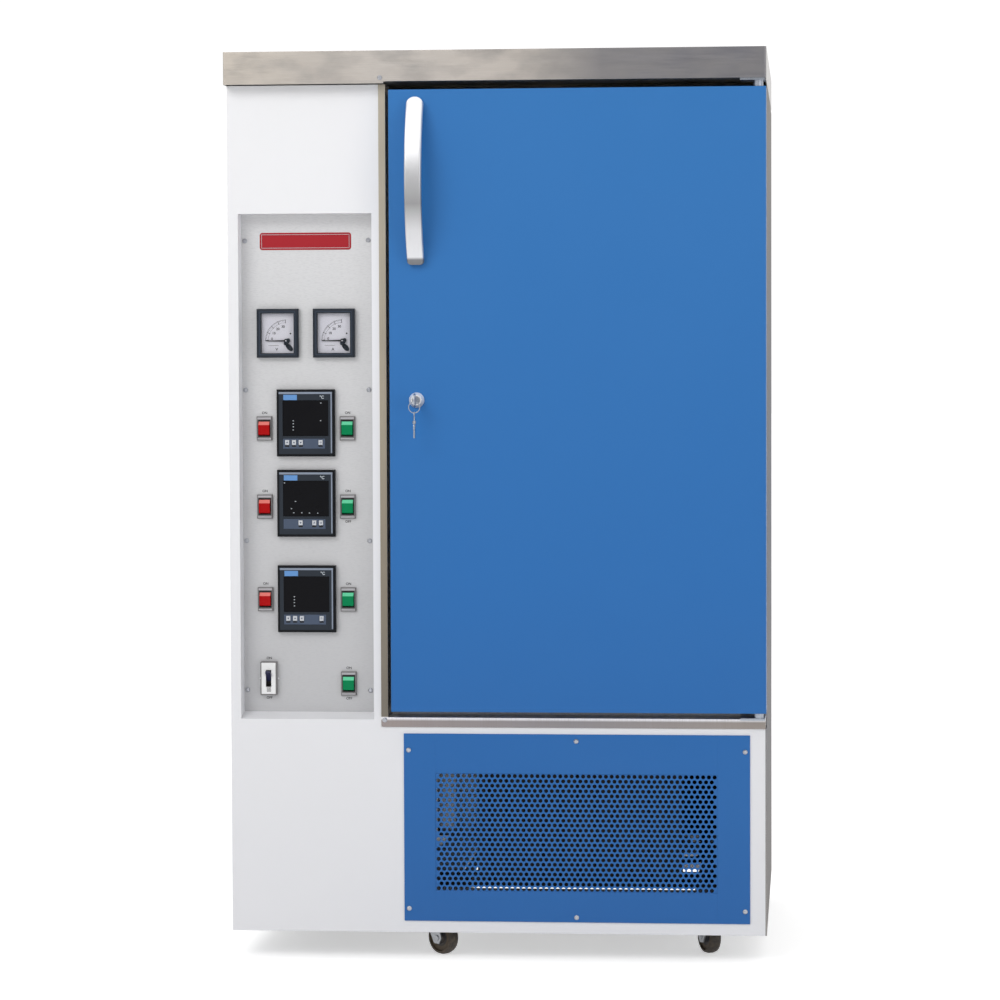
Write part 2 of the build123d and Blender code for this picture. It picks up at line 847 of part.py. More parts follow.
def controller_keypad(place, columns):
    """Rubber keypad: one sheet with the controller's keys standing on it."""
    front = plate_front - controller_proud
    pad = facing(keypad_base(place, columns, 0.0), front + 3.2, front + 5.0)
    return pad + facing(key_sketch(place, columns, 0.0), front - 1.0, front + 3.2)


def switch_housings():
    """Snap-in frames of the rocker switches, and the circuit breaker's housing."""
    housings = []
    opening = [side + 2 * clearance for side in rocker_size]
    front = plate_front - switch_proud
    for name, across, up in switch_places:
        x, z = on_plate((across, up))
        housing = facing(Pos(x, z) * Rectangle(*switch_size), front, plate_front)
        housing = chamfer(housing.faces().sort_by(Axis.Y)[0].edges(), 1.0)
        body = (switch_size[0] - 4.0, switch_size[1] - 4.0)
        housing += facing(Pos(x, z) * Rectangle(*body), plate_front, plate_front + switch_body_depth)
        well = facing(Pos(x, z) * Rectangle(*opening), front, plate_front + rocker_depth)
        pivot = rod((x - opening[0] / 2, rocker_y(), z), (x + opening[0] / 2, rocker_y(), z), 1.0)
        housings.append(housing - well + pivot)
    x, z = on_plate(breaker_place)
    front = plate_front - breaker_proud
    housing = facing(Pos(x, z) * Rectangle(*breaker_size), front, plate_front)
    body = (breaker_size[0] - 4.0, breaker_size[1] - 4.0)
    housing += facing(Pos(x, z) * Rectangle(*body), plate_front, plate_front + breaker_body_depth)
    well = (lever_width + 2 * clearance, lever_reach * 2)
    housing -= facing(Pos(x, z) * Rectangle(*well), front, plate_front + 12.0)
    pivot = rod((x - well[0] / 2, lever_y(), z), (x + well[0] / 2, lever_y(), z), 1.0)
    housings.append(housing + pivot)
    return Compound(children=housings)


def rocker_y():
    """Depth of the rockers' pivots."""
    return plate_front - switch_proud + rocker_pivot_depth


def rocker(across, up):
    """Rocker cap with a short sloping facet above a long one, resting with its top pressed in."""
    x, z = on_plate((across, up))
    half = rocker_size[1] / 2
    points = [
        (-rocker_top[0], rocker_top[1]),
        (-rocker_crest[0], rocker_crest[1]),
        (-rocker_bottom[0], -rocker_bottom[1]),
        (0.0, -rocker_top[1]),
        (rocker_back, -half / 2),
        (rocker_back, half / 2),
    ]
    cap = from_side(points, -rocker_size[0] / 2, rocker_size[0] / 2)
    crest = cap.edges().filter_by(Axis.X).sort_by(Axis.Y)[0]
    cap = fillet(crest, rocker_pivot_depth)
    cap -= rod((-half, 0, 0), (half, 0, 0), 1.0 + running_fit)
    return Pos(x, rocker_y(), z) * cap


def lever_y():
    """Depth of the breaker lever's pivot."""
    return plate_front + 2.0


def breaker_lever():
    """Toggle lever of the circuit breaker, standing up in its closed position."""
    x, z = on_plate(breaker_place)
    y = lever_y()
    points = [
        (y + 3.5, z - 3.5),
        (y - 5.0, z - 4.5),
        (y - 10.0, z + 1.0),
        (y - 19.0, z + 9.0),
        (y - 18.0, z + 11.5),
        (y - 10.0, z + 8.0),
        (y - 1.0, z + 5.0),
        (y + 3.5, z + 3.5),
    ]
    lever = from_side(points, x - lever_width / 2, x + lever_width / 2)
    return lever - rod((x - lever_width, y, z), (x + lever_width, y, z), 1.0 + running_fit)


def grille_panel():
    """Screwed cover with staggered rows of vent holes in its middle."""
    middle_x = (grille_left + grille_right) / 2
    middle_z = (grille_bottom + grille_top) / 2
    panel = rectangle((grille_left, grille_right), (grille_bottom, grille_top))
    row_pitch = hole_pitch * math.sqrt(3) / 2
    rows = int((grille_height - 2 * hole_margin[1]) / row_pitch)
    columns = int((grille_right - grille_left - 2 * hole_margin[0]) / hole_pitch)
    hole = RegularPolygon(hole_flats / 2, 6, major_radius=False, rotation=30)
    places = []
    for row in range(rows):
        count = columns - row % 2
        for column in range(count):
            x = middle_x + (column - (count - 1) / 2) * hole_pitch
            z = middle_z + (row - (rows - 1) / 2) * row_pitch
            places.append(Pos(x, z))
    panel -= places * hole
    return facing(panel, grille_front, fascia)


def inner_liner():
    """Stainless box of the chamber, welded from sheets, with the shelves' rails on its sides."""
    wall = liner_sheet
    inside_x = (chamber_left, chamber_right)
    outside_x = (chamber_left - wall, chamber_right + wall)
    inside_z = (chamber_bottom, chamber_top)
    deep = (liner_front, liner_back)
    back = block(outside_x, (liner_back, liner_back + wall), (chamber_bottom - wall, chamber_top + wall))
    back -= rod((fan_x, liner_back, fan_z), (fan_x, liner_back + wall, fan_z), 2 * fan_shaft_radius)
    sheets = [
        back,
        block((outside_x[0], inside_x[0]), deep, inside_z),
        block((inside_x[1], outside_x[1]), deep, inside_z),
        block(outside_x, deep, (chamber_bottom - wall, chamber_bottom)),
        block(outside_x, deep, (chamber_top, chamber_top + wall)),
    ]
    for height in shelf_heights:
        top = chamber_bottom + height
        for rail_x in (
            (chamber_left, chamber_left + rail_width),
            (chamber_right - rail_width, chamber_right),
        ):
            sheets.append(block(rail_x, shelf_y, (top - rail_thickness, top)))
    return Compound(children=sheets)


def cabinet_insulation():
    """Glass wool around the liner."""
    wool = block(
        (strip_right, chamber_right + wall_insulation),
        (liner_front, insulation_back),
        (deck_top, chamber_top + wall_insulation),
    )
    wool -= block(
        (chamber_left - liner_sheet, chamber_right + liner_sheet),
        (liner_front, liner_back + liner_sheet),
        (chamber_bottom - liner_sheet, chamber_top + liner_sheet),
    )
    return wool - rod((fan_x, liner_back, fan_z), (fan_x, insulation_back, fan_z), 2 * fan_shaft_radius)


def shelves():
    """Slotted stainless shelves, lying on the liner's rails."""
    plates = []
    across = (chamber_left + 1.0, chamber_right - 1.0)
    deep = shelf_y
    pitch = (across[1] - across[0] - 2 * rail_width) / shelf_slots
    for height in shelf_heights:
        low = chamber_bottom + height
        plate = block(across, deep, (low, low + shelf_thickness))
        for index in range(shelf_slots):
            x = across[0] + rail_width + (index + 0.5) * pitch
            for half in ((deep[0] + 15.0, -15.0 + sum(deep) / 2), (sum(deep) / 2 + 15.0, deep[1] - 15.0)):
                plate -= block(centred(x, slot_width / 2), half, (low, low + shelf_thickness))
        plates.append(plate)
    return Compound(children=plates)


def air_duct_panel():
    """Baffle in front of the plenum, with inlet slots low down and outlets at the top."""
    panel = rectangle((chamber_left, chamber_right), (chamber_bottom, chamber_top))
    slot = Rectangle(chamber_right - chamber_left - 2 * duct_slot_inset, duct_slot_height)
    for row in range(duct_slots):
        from_end = (row + 2) * duct_slot_pitch
        panel -= Pos(fan_x, chamber_top - from_end) * slot
        panel -= Pos(fan_x, chamber_bottom + from_end) * slot
    return facing(panel, duct_y, duct_y + sheet)


def fan(centre, radius, depth):
    """Axial fan turning about Y: a bored hub with pitched blades cut to a circle."""
    x, y, z = centre
    blades = Part()
    for index in range(fan_blades):
        blade = Pos(radius / 2, 0, 0) * Rot(fan_blade_angle, 0, 0) * Box(radius, depth * 1.2, fan_blade_thickness)
        blades += Rot(0, index * 360.0 / fan_blades, 0) * blade
    envelope = rod((0, -depth / 2, 0), (0, depth / 2, 0), radius)
    hub = rod((0, -depth / 2, 0), (0, depth / 2, 0), fan_hub_radius)
    bore = rod((0, -depth / 2, 0), (0, depth / 2, 0), fan_shaft_radius + running_fit)
    return Pos(x, y, z) * ((blades & envelope) + hub - bore)


def circulation_fan_centre():
    return (fan_x, duct_y + 38.0, fan_z)


def condenser_front():
    return fascia + 70.0


def condenser_fan_centre():
    return (fan_x, condenser_front() + condenser_size[1] + 28.0, (frame_top + bar_bottom) / 2)


def motor(centre, back, shaft_end):
    """Fan motor with its shaft reaching forward through the fan's hub."""
    x, y, z = centre
    body = rod((x, back - motor_length, z), (x, back, z), motor_radius)
    return body + rod((x, shaft_end, z), (x, back - motor_length, z), fan_shaft_radius)


def fan_motors():
    """Motors of the two fans; the lower one stands on a bracket on the base frame."""
    centre = circulation_fan_centre()
    upper = motor(centre, insulation_back + motor_length, centre[1] - fan_depth / 2 - 2.0)
    centre = condenser_fan_centre()
    back = centre[1] + fan_depth / 2 + 6.0 + motor_length
    lower = motor(centre, back, centre[1] - fan_depth / 2 - 2.0)
    lower += block(
        centred(centre[0], 30.0), (back - motor_length + 4.0, back - 4.0), (frame_top, centre[2] - 30.0)
    )
    lower += block((caster_x["left"], caster_x["right"]), (back - 50.0, back), (frame_top, frame_top + 3.0))
    return Compound(children=[upper, lower])


def heater_coil():
    """Straight heating rods held in a flange on the liner's back."""
    half = (chamber_right - chamber_left) / 2 - heater_inset
    stand_off = 3 * heater_radius
    flange_y = (liner_back - heater_radius + 1.0, liner_back)
    left = fan_x - half
    flange = block(centred(left, stand_off), flange_y, centred(heater_z, heater_rods * heater_pitch / 2))
    for index in range(heater_rods):
        rod_z = heater_z + (index - (heater_rods - 1) / 2) * heater_pitch
        y = liner_back - stand_off
        flange += rod((left, y, rod_z), (fan_x + half, y, rod_z), heater_radius)
        flange += block(
            centred(left, heater_radius + 1.0), (y, flange_y[0]), centred(rod_z, heater_radius + 1.0)
        )
    return flange


def evaporator_coil():
    """Finned cooling block on the liner's back."""
    half = (chamber_right - chamber_left) / 2 - evaporator_inset
    low = chamber_bottom + evaporator_rise
    high = heater_z - heater_rods * heater_pitch
    y = (liner_back - evaporator_depth, liner_back)
    coil = block(centred(fan_x, half), (y[0], y[1] - coil_groove / 2), (low, high))
    pitch = 2 * half / (evaporator_grooves + 1)
    for index in range(evaporator_grooves):
        groove_x = fan_x - half + (index + 1) * pitch
        coil -= block(centred(groove_x, coil_groove / 2), (y[0], y[0] + 1.5 * coil_groove), (low, high))
    for x in (fan_x - half - sheet, fan_x + half + sheet):
        coil += block(centred(x, sheet), y, (low - 4 * sheet, high + 4 * sheet))
    return coil


def humidifier():
    """Steam pan on the chamber floor, in the plenum."""
    edge = duct_slot_height + 1.0
    x = centred(fan_x, pan_width / 2)
    y = (duct_y + edge, liner_back - edge)
    z = (chamber_bottom, chamber_bottom + pan_height)
    wall = sheet + clearance
    inside = block((x[0] + wall, x[1] - wall), (y[0] + wall, y[1] - wall), (z[0] + wall, z[1]))
    return block(x, y, z) - inside


def sensor_probe():
    """Temperature probe standing out of the baffle."""
    x, z = chamber_right - probe_inset, chamber_top - probe_drop
    gland = rod((x, duct_y - 10.0, z), (x, duct_y, z), 9.0)
    return gland + rod((x, duct_y - 60.0, z), (x, duct_y - 10.0, z), 3.0)


def compressor():
    """Hermetic compressor: a turned shell on four feet."""
    x, y = compressor_place()
    low, high = frame_top + 12.0, frame_top + 12.0 + compressor_height
    r = compressor_radius
    outline = Polyline(
        (0, low), (r * 0.6, low), (r * 0.94, low + 16), (r, low + 40), (r, high - 55), (r * 0.9, high - 25),
        (r * 0.55, high - 4), (0, high), close=True,
    )
    shell = revolve(Plane.XZ * make_face(outline), Axis.Z)
    shell = Pos(x, y, 0) * shell
    feet = block(centred(x, 85.0), centred(y, 22.0), (frame_top, frame_top + 4.0))
    feet += block(centred(x, 22.0), centred(y, 50.0), (frame_top, low + 6.0))
    return shell + feet


def compressor_place():
    """The X and Y of the compressor's axis."""
    return caster_x["right"] - compressor_inset[0], rear - compressor_inset[1]


def condenser_coil():
    """Finned condenser on a tray, with the pipes brazed to it."""
    width, depth, height = condenser_size
    y = (condenser_front(), condenser_front() + depth)
    z = (frame_top + 6.0, frame_top + 6.0 + height)
    coil = block(centred(fan_x, width / 2), y, z)
    for index in range(11):
        groove_x = fan_x - 130.0 + index * 26.0
        coil -= block(centred(groove_x, 4.0), (y[0], y[0] + 10.0), z)
    coil += block((caster_x["left"], caster_x["right"]), (y[0] - 4.0, y[1] + 4.0), (frame_top, z[0]))
    end = fan_x + width / 2
    reach, behind = compressor_place()
    behind -= compressor_radius
    for pipe_z, depth_in in ((z[0] + 30.0, 34.0), (z[1] - 30.0, 20.0)):
        route = FilletPolyline(
            (end - 5.0, y[0] + depth_in, pipe_z),
            (end + 25.0, y[0] + depth_in, pipe_z),
            (end + 25.0, behind - 30.0, pipe_z),
            (reach, behind - 30.0, pipe_z),
            (reach, behind, pipe_z),
            radius=18.0,
        )
        profile = Plane(origin=route @ 0, z_dir=route % 0) * Circle(pipe_radius)
        coil += sweep(profile, path=route)
    return coil


def relay_tray():
    """Sheet inside the left side that carries three columns of relays."""
    wall = -half_width + sheet
    y = (rear - tray_rear_gap - tray_depth, rear - tray_rear_gap)
    low = recess_sill + tray_rise
    sheets = [block((wall, wall + sheet), y, (low, low + tray_height))]
    for row in range(3):
        for column in range(3):
            near = y[0] + 20.0 + column * relay_pitch[0]
            base = low + 30.0 + row * relay_pitch[1]
            deep = (wall + sheet, wall + relay_size[0] + row * 6.0)
            sheets.append(block(deep, (near, near + relay_size[1]), (base, base + relay_size[2])))
    return Compound(children=sheets)


def caster_centre(side, end):
    y = fascia + front_caster_inset if end == "front" else rear - rear_caster_inset
    return caster_x[side], y


def caster_head():
    """Mounting plate, raceway and kingpin of one caster, about its own swivel axis."""
    plate_low = frame_bottom - caster_plate_thickness
    race_low = plate_low - raceway_height
    head = block(centred(0, caster_plate / 2), centred(0, caster_plate / 2), (plate_low, frame_bottom))
    head += rod((0, 0, race_low), (0, 0, plate_low), raceway_radius)
    head += rod((0, 0, race_low - 8.5), (0, 0, race_low), kingpin_radius)
    return head


def fork_top():
    return frame_bottom - caster_plate_thickness - raceway_height - clearance


def fork(bored):
    """Bent fork with the wheel's axle in it, trailing along -X of its own swivel axis."""
    side = hub_width / 2 + fork_side_gap
    top = fork_top()
    low = wheel_radius + axle_radius + 3.0
    body = block((-22.0, 20.0), centred(0, side + fork_thickness), (top - 3.0, top))
    cheek = Polyline(
        (20.0, top), (-22.0, top), (-caster_offset - 9.0, wheel_radius), (-caster_offset - 4.0, wheel_radius - 9.0),
        (-caster_offset + 6.0, wheel_radius - 8.0), (-2.0, top - 14.0), (20.0, top - 8.0), close=True,
    )
    leg = facing(make_face(cheek), -fork_thickness / 2, fork_thickness / 2)
    for end in (-1, 1):
        body += Pos(0, end * (side + fork_thickness / 2), 0) * leg
    axle_x = -caster_offset
    body += rod((axle_x, -side - 4.0, wheel_radius), (axle_x, side + 4.0, wheel_radius), axle_radius)
    if bored:
        body -= rod((0, 0, top - 3.0), (0, 0, top), kingpin_radius + running_fit)
    return body


def wheel():
    """Wheel with a rounded tread and a hub bored for the axle."""
    half = wheel_width / 2
    outline = Polyline(
        (axle_radius + running_fit, -hub_width / 2),
        (hub_radius, -hub_width / 2),
        (hub_radius + 1.0, -half + 3.0),
        (wheel_radius - 6.0, -half + 3.0),
        (wheel_radius - 5.0, -half),
        (wheel_radius - 1.5, -half + 1.5),
        (wheel_radius, -half + 6.0),
        (wheel_radius, half - 6.0),
        (wheel_radius - 1.5, half - 1.5),
        (wheel_radius - 5.0, half),
        (wheel_radius - 6.0, half - 3.0),
        (hub_radius + 1.0, half - 3.0),
        (hub_radius, hub_width / 2),
        (axle_radius + running_fit, hub_width / 2),
        close=True,
    )
    turned = revolve(Plane.XZ * make_face(outline), Axis.Z)
    return Pos(-caster_offset, 0, wheel_radius) * Rot(90, 0, 0) * turned


def caster_place(side, end):
    """Where one caster stands and which way it trails at rest."""
    x, y = caster_centre(side, end)
    angle = front_caster_angle[side] + 180.0 if end == "front" else 90.0
    return Pos(x, y, 0) * Rot(0, 0, angle)


def caster_mounts():
    """Heads of the casters; the rear two have their fixed forks welded on."""
    heads = []
    for side in caster_x:
        heads.append(Pos(*caster_centre(side, "front"), 0) * caster_head())
        rigid = caster_head() + fork(False) + rod((0, 0, fork_top() - 1.0), (0, 0, fork_top() + 1.0), kingpin_radius)
        heads.append(caster_place(side, "rear") * rigid)
    return Compound(children=heads)


os.makedirs("parts", exist_ok=True)


def save(name, shape):
    export_step(shape, f"parts/{name}.step")


for build in (
    base_frame,
    left_side_panel,
    right_side_panel,
    rear_panel,
    top_cap,
    front_panel,
    door_frame,
    hinge_brackets,
    door_hinge_bushes,
    door_shell,
    door_core,
    door_liner,
    door_gasket,
    door_handle,
    lock_barrel,
    lock_plug,
    key_ring,
    control_plate,
    panel_screws,
    meter_cases,
    meter_dials,
    instrument_windows,
    controller_cases,
    switch_housings,
    breaker_lever,
    grille_panel,
    inner_liner,
    cabinet_insulation,
    shelves,
    air_duct_panel,
    fan_motors,
    heater_coil,
    evaporator_coil,
    humidifier,
    sensor_probe,
    compressor,
    condenser_coil,
    relay_tray,
    caster_mounts,
):
    save(build.__name__, build())

for side, place in zip(("left", "right"), meter_places):
    save(f"meter_needle_{side}", meter_needle(place))
for name, across, up in switch_places:
    save(f"rocker_{name}", rocker(across, up))
for index, place in enumerate(controller_places):
    save(f"controller_keypad_{index + 1}", controller_keypad(place, key_columns[index]))
for side in caster_x:
    save(f"caster_fork_front_{side}", caster_place(side, "front") * fork(True))
    for end in ("front", "rear"):
        save(f"caster_wheel_{end}_{side}", caster_place(side, end) * wheel())
save("circulation_fan", fan(circulation_fan_centre(), fan_radius, fan_depth))
save("condenser_fan", fan(condenser_fan_centre(), condenser_fan_radius, fan_depth))
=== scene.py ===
"""Looks of the environmental test chamber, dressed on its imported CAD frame."""
import json
import math
import bmesh
import bpy
from mathutils import Matrix, Vector

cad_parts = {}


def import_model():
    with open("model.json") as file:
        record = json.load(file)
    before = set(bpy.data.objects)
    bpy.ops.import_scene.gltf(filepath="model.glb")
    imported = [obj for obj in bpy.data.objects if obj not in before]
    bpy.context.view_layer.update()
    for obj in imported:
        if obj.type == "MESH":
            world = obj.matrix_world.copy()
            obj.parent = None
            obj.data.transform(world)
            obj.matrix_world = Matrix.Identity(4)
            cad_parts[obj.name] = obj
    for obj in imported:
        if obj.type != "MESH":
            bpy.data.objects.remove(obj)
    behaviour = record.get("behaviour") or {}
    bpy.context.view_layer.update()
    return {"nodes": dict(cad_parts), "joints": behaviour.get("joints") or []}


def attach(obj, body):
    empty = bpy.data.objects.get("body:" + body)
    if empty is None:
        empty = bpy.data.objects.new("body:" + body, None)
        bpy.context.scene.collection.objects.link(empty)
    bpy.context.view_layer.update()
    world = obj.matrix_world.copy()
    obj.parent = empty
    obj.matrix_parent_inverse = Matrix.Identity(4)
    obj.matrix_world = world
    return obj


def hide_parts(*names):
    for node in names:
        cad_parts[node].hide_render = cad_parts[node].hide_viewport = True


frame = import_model()

MM = 0.001
EDGE_RADIUS = 0.0008
TINY = 1e-9

# Places and sizes taken over from the CAD source, in millimetres.
# Those of the instruments are measured from the recess's left edge and its sill.
RECESS_LEFT = -373.0
SILL = 350.0
PLATE_FRONT = -257.5
METER_PLACES = ((53.5, 560.5), (136.0, 560.5))
METER_SIZE = (61.0, 71.0)
METER_PROUD = 11.0
DIAL_FACE = -261.5
CONTROLLER_PLACES = ((94.0, 430.0), (94.0, 313.0), (94.0, 173.5))
CONTROLLER_SIZE = (85.0, 97.5)
CONTROLLER_FRONT = -267.5
SWITCH_FRONT = -262.5
BREAKER_PLACE = (37.0, 57.0)
BREAKER_FRONT = -265.5
GRILLE_X = (-135.0, 366.0)
GRILLE_Z = (57.0, 330.0)
GRILLE_Y = (-289.0, -287.5)

# Field of round holes in the grille, in millimetres
HOLE_PITCH = 8.25
HOLE_DIAMETER = 5.8
HOLE_COLUMNS = 49
HOLE_ROWS = 24
HOLE_LEFT = -85.0
HOLE_TOP = 269.0
FIELD_STEP = 0.8

# Bare sign, in millimetres
SIGN_X = (-346.0, -212.0)
SIGN_Z = (1031.5, 1056.5)
SIGN_CORNER = 4.0
SIGN_LINE = 0.6
SIGN_LINE_INSET = 2.5

# Meter dials, in millimetres from their middle or their pivot, and in degrees.
# An arc has a radius and a line width, and a tick has its two ends and half its width.
METER_PIVOT = (12.0, -11.0)
SCALE_START = 92.0
SCALE_SWEEP = 86.0
SCALE_ARCS = ((30.5, 0.35), (26.5, 0.25))
ARC_STEPS = 30
TICK_STEPS = 20
LONG_TICK_EVERY = 5
LONG_TICK = (25.5, 31.0, 0.35)
SHORT_TICK = (28.5, 30.5, 0.2)
ZERO_SCREW = (18.3, -0.5)
ZERO_SCREW_SIZE = (1.2, 1.2)
DIAL_LINE = ((-14.0, 1.0), (-18.0, -17.6))
DIAL_NUMBERS = ("0", "10", "20", "30")
NUMBER_START = 172.0
NUMBER_SWEEP = 70.0
NUMBER_RADIUS = 21.0
NUMBER_HEIGHT = 5.0
# Painted highlight along each meter bezel's inner step: its inset and its line width
RIM_HIGHLIGHT_INSET = 4.2
RIM_HIGHLIGHT_LINE = 0.5

# The two ovals over a meter's pivot: place, half-axes, turn, and how far they stand off the dial
PIVOT_COVERS = (
    ((13.5, -12.5), (6.0, 3.4), 52.0, (3.3, 2.4)),
    ((16.5, -20.5), (6.8, 3.6), -48.0, (0.9, 0.0)),
)

# Controller faces, in millimetres right of and below the case's top left corner
FACE_MARGIN = 3.4
FACE_TOP = 3.6
EDGE_FOOT = 6.6
DISPLAY_X = (9.0, 76.0)
DISPLAY_Z = (15.75, 67.75)
DISPLAY_GAP = 0.1
KEY_FIELD_X = (9.4, 71.0)
KEY_FIELD_Z = (71.5, 86.0)
KEY_ROW_Z = (73.4, 80.6)
# Painted shadow under each key, a black bar between these distances below the case's top
KEY_SHADOW_Z = (81.2, 83.4)
KEY_MIDDLE = 77.0
KEY_HALF = 3.4
EQUALS_LINES = ((-1.0, -0.4), (0.5, 1.1))
BADGE = ((10.2, 30.2), (7.6, 15.4))
UNIT_PLACE = (66.5, 11.4)
UNIT_HEIGHT = 6.0
PROUD = (0.5, 0.0)
KEY_COLUMNS = ((15.5, 25.5, 35.5, 64.5), (34.5, 54.5, 64.5), (15.5, 25.5, 35.5, 64.5))
COLUMN_DOTS = ((24.5, 45.5), (24.5, 49.8), (24.5, 54.2), (24.5, 58.8))
DISPLAY_DOTS = (
    COLUMN_DOTS + ((65.0, 19.8), (64.6, 45.4)),
    ((11.0, 19.0), (27.0, 45.8), (21.0, 56.5), (24.5, 62.5), (36.0, 62.5), (47.5, 62.8), (59.5, 63.0)),
    COLUMN_DOTS,
)

# Switches and breaker, in millimetres from their middle
ROCKER_HALF = (8.4, 10.9)
WELL_OUTER = 9.2
WELL_TOP = 12.6
WELL_FOOT = 12.2
SWITCH_RIM_HALF = 10.0
SWITCH_RIMS = ((13.2, 16.2), (-16.2, -14.0))
COVER_HALF = (10.4, 22.8)
LEVER_WELL = (4.0, 12.2)
RIB_COUNT = 6
RIB_FOOT = -19.5
RIB_PITCH = 1.3
SWITCH_ON_STEP = 22.5
SWITCH_OFF_STEP = 22.0
BREAKER_LABEL_STEP = 29.0

# Lettering: heights and half the thickness in millimetres, and extra weight as a share of the height
LABEL_HEIGHT = 5.0
LETTER_THICKNESS = 0.03
LETTER_WEIGHT = 0.02

# Name and place of each switch, and whether it has a second label below
SWITCHES = (
    ("red_1", (32.5, 422.0), False),
    ("red_2", (32.5, 308.0), False),
    ("red_3", (32.5, 172.5), False),
    ("green_1", (154.5, 422.0), False),
    ("green_2", (154.5, 308.0), True),
    ("green_3", (154.5, 172.5), False),
    ("green_4", (154.5, 49.5), True),
)

# Spans in metres that the colours follow, painted light and shade among them
CABINET_X = (-0.39, 0.39)
PANEL_Z = (0.0, 1.3)
DOOR_Z = (0.0, 1.26)
PLATE_Z = (0.36, 1.08)
SIDE_Z = (0.05, 1.26)
STRIP_Z = (0.35, 1.26)
BAR_X = (-0.17, 0.38)
BAR_TOP = 0.3535
STRIP_RIGHT = -0.157
HANDLE_Z = (1.0075, 1.2475)
WHEEL_RADIUS = 0.025

# Stretch of the polishing lines
EVEN = (1.0, 1.0, 1.0)
ALONG_X = (0.03, 1.0, 1.0)
ALONG_Z = (1.0, 1.0, 0.03)

# Light and room. A light has its name, place, target, size in metres and power in watts.
LIGHTS = (
    ("key", (-2.2, -4.2, 3.6), (0.0, -0.3, 0.75), (2.6, 2.0), 80.0),
    ("fill", (3.2, -3.6, 1.6), (0.0, -0.3, 0.6), (2.0, 2.4), 26.0),
    ("back", (0.5, 4.5, 3.0), (0.0, 0.3, 0.7), (3.0, 2.0), 30.0),
)
SOFT_LIGHT = 0.64
FLOOR_GLOW = 0.5
FLOOR_HALF = 40.0
ROOM_BEHIND = ((0.0, 0.7), (0.45, 1.0), (0.65, 1.15), (1.0, 1.4))
ROOM_BEFORE = ((0.0, 0.35), (0.47, 0.30), (0.53, 0.50), (0.7, 0.85), (1.0, 1.3))

# Camera: place in metres, yaw, pitch and roll in degrees, and film in millimetres
CAMERA_PLACE = (0.45, -5.2875, 0.8912)
CAMERA_TURNS = (5.071, -2.536, -0.216)
SENSOR_WIDTH = 36.0
FOCAL_LENGTH = 125.38


def srgb(red, green, blue):
    """Linear colour of three 0 to 255 screen values."""
    values = []
    for value in (red, green, blue):
        value /= 255.0
        values.append(value / 12.92 if value <= 0.04045 else ((value + 0.055) / 1.055) ** 2.4)
    return (*values, 1.0)


def grey(value):
    """Linear grey."""
    return (value, value, value, 1.0)


# Shader building blocks


def shader(name, colour, metallic, roughness, **sockets):
    """New material with its constants set; returns it with its node tree and surface."""
    material = bpy.data.materials.new(name)
    material.use_nodes = True
    tree = material.node_tree
    surface = tree.nodes["Principled BSDF"]
    surface.inputs["Base Color"].default_value = colour
    surface.inputs["Metallic"].default_value = metallic
    surface.inputs["Roughness"].default_value = roughness
    for socket, value in sockets.items():
        surface.inputs[socket.replace("_", " ")].default_value = value
    material.diffuse_color = colour
    return material, tree, surface


def coordinates(tree, scale=EVEN):
    """Object coordinates in metres, stretched by scale."""
    source = tree.nodes.new("ShaderNodeTexCoord")
    mapping = tree.nodes.new("ShaderNodeMapping")
    mapping.inputs["Scale"].default_value = scale
    tree.links.new(source.outputs["Object"], mapping.inputs["Vector"])
    return mapping.outputs["Vector"]


def noise(tree, scale, detail=2.0, stretch=EVEN):
    """Soft random pattern from 0 to 1."""
    texture = tree.nodes.new("ShaderNodeTexNoise")
    texture.inputs["Scale"].default_value = scale
    texture.inputs["Detail"].default_value = detail
    tree.links.new(coordinates(tree, stretch), texture.inputs["Vector"])
    return texture.outputs["Fac"]


def spread(tree, value, low, high, start=0.0, end=1.0):
    """Maps a value from start..end onto low..high."""
    remap = tree.nodes.new("ShaderNodeMapRange")
    remap.inputs["From Min"].default_value = start
    remap.inputs["From Max"].default_value = end
    remap.inputs["To Min"].default_value = low
    remap.inputs["To Max"].default_value = high
    tree.links.new(value, remap.inputs["Value"])
    return remap.outputs["Result"]


def place_along(tree, axis):
    """One of the object coordinates, 0 for X, 1 for Y and 2 for Z."""
    split = tree.nodes.new("ShaderNodeSeparateXYZ")
    tree.links.new(coordinates(tree), split.inputs["Vector"])
    return split.outputs[axis]


def ramp(tree, value, stops):
    """Colour ramp with (position, colour) stops."""
    node = tree.nodes.new("ShaderNodeValToRGB")
    elements = node.color_ramp.elements
    while len(elements) < len(stops):
        elements.new(0.5)
    for element, (position, colour) in zip(elements, stops):
        element.position = position
        element.color = colour
    tree.links.new(value, node.inputs["Fac"])
    return node.outputs["Color"]


def blend_colours(tree, factor, first, second):
    """Mixes two colours, each a value or another node's output."""
    node = tree.nodes.new("ShaderNodeMix")
    node.data_type = "RGBA"
    node.clamp_factor = True
    for socket, value in ((node.inputs[0], factor), (node.inputs[6], first), (node.inputs[7], second)):
        if isinstance(value, bpy.types.NodeSocket):
            tree.links.new(value, socket)
        else:
            socket.default_value = value
    return node.outputs[2]


def bump(tree, surface, height, strength, distance):
    """Fine relief on a surface with softened edges."""
    node = tree.nodes.new("ShaderNodeBump")
    node.inputs["Strength"].default_value = strength
    node.inputs["Distance"].default_value = distance
    tree.links.new(height, node.inputs["Height"])
    edge = tree.nodes.new("ShaderNodeBevel")
    edge.samples = 4
    edge.inputs["Radius"].default_value = EDGE_RADIUS
    tree.links.new(edge.outputs["Normal"], node.inputs["Normal"])
    tree.links.new(node.outputs["Normal"], surface.inputs["Normal"])


def stops_along(tree, axis, ends, stops):
    """Colour stops between two places on one axis, in metres."""
    return ramp(tree, spread(tree, place_along(tree, axis), 0.0, 1.0, *ends), stops)


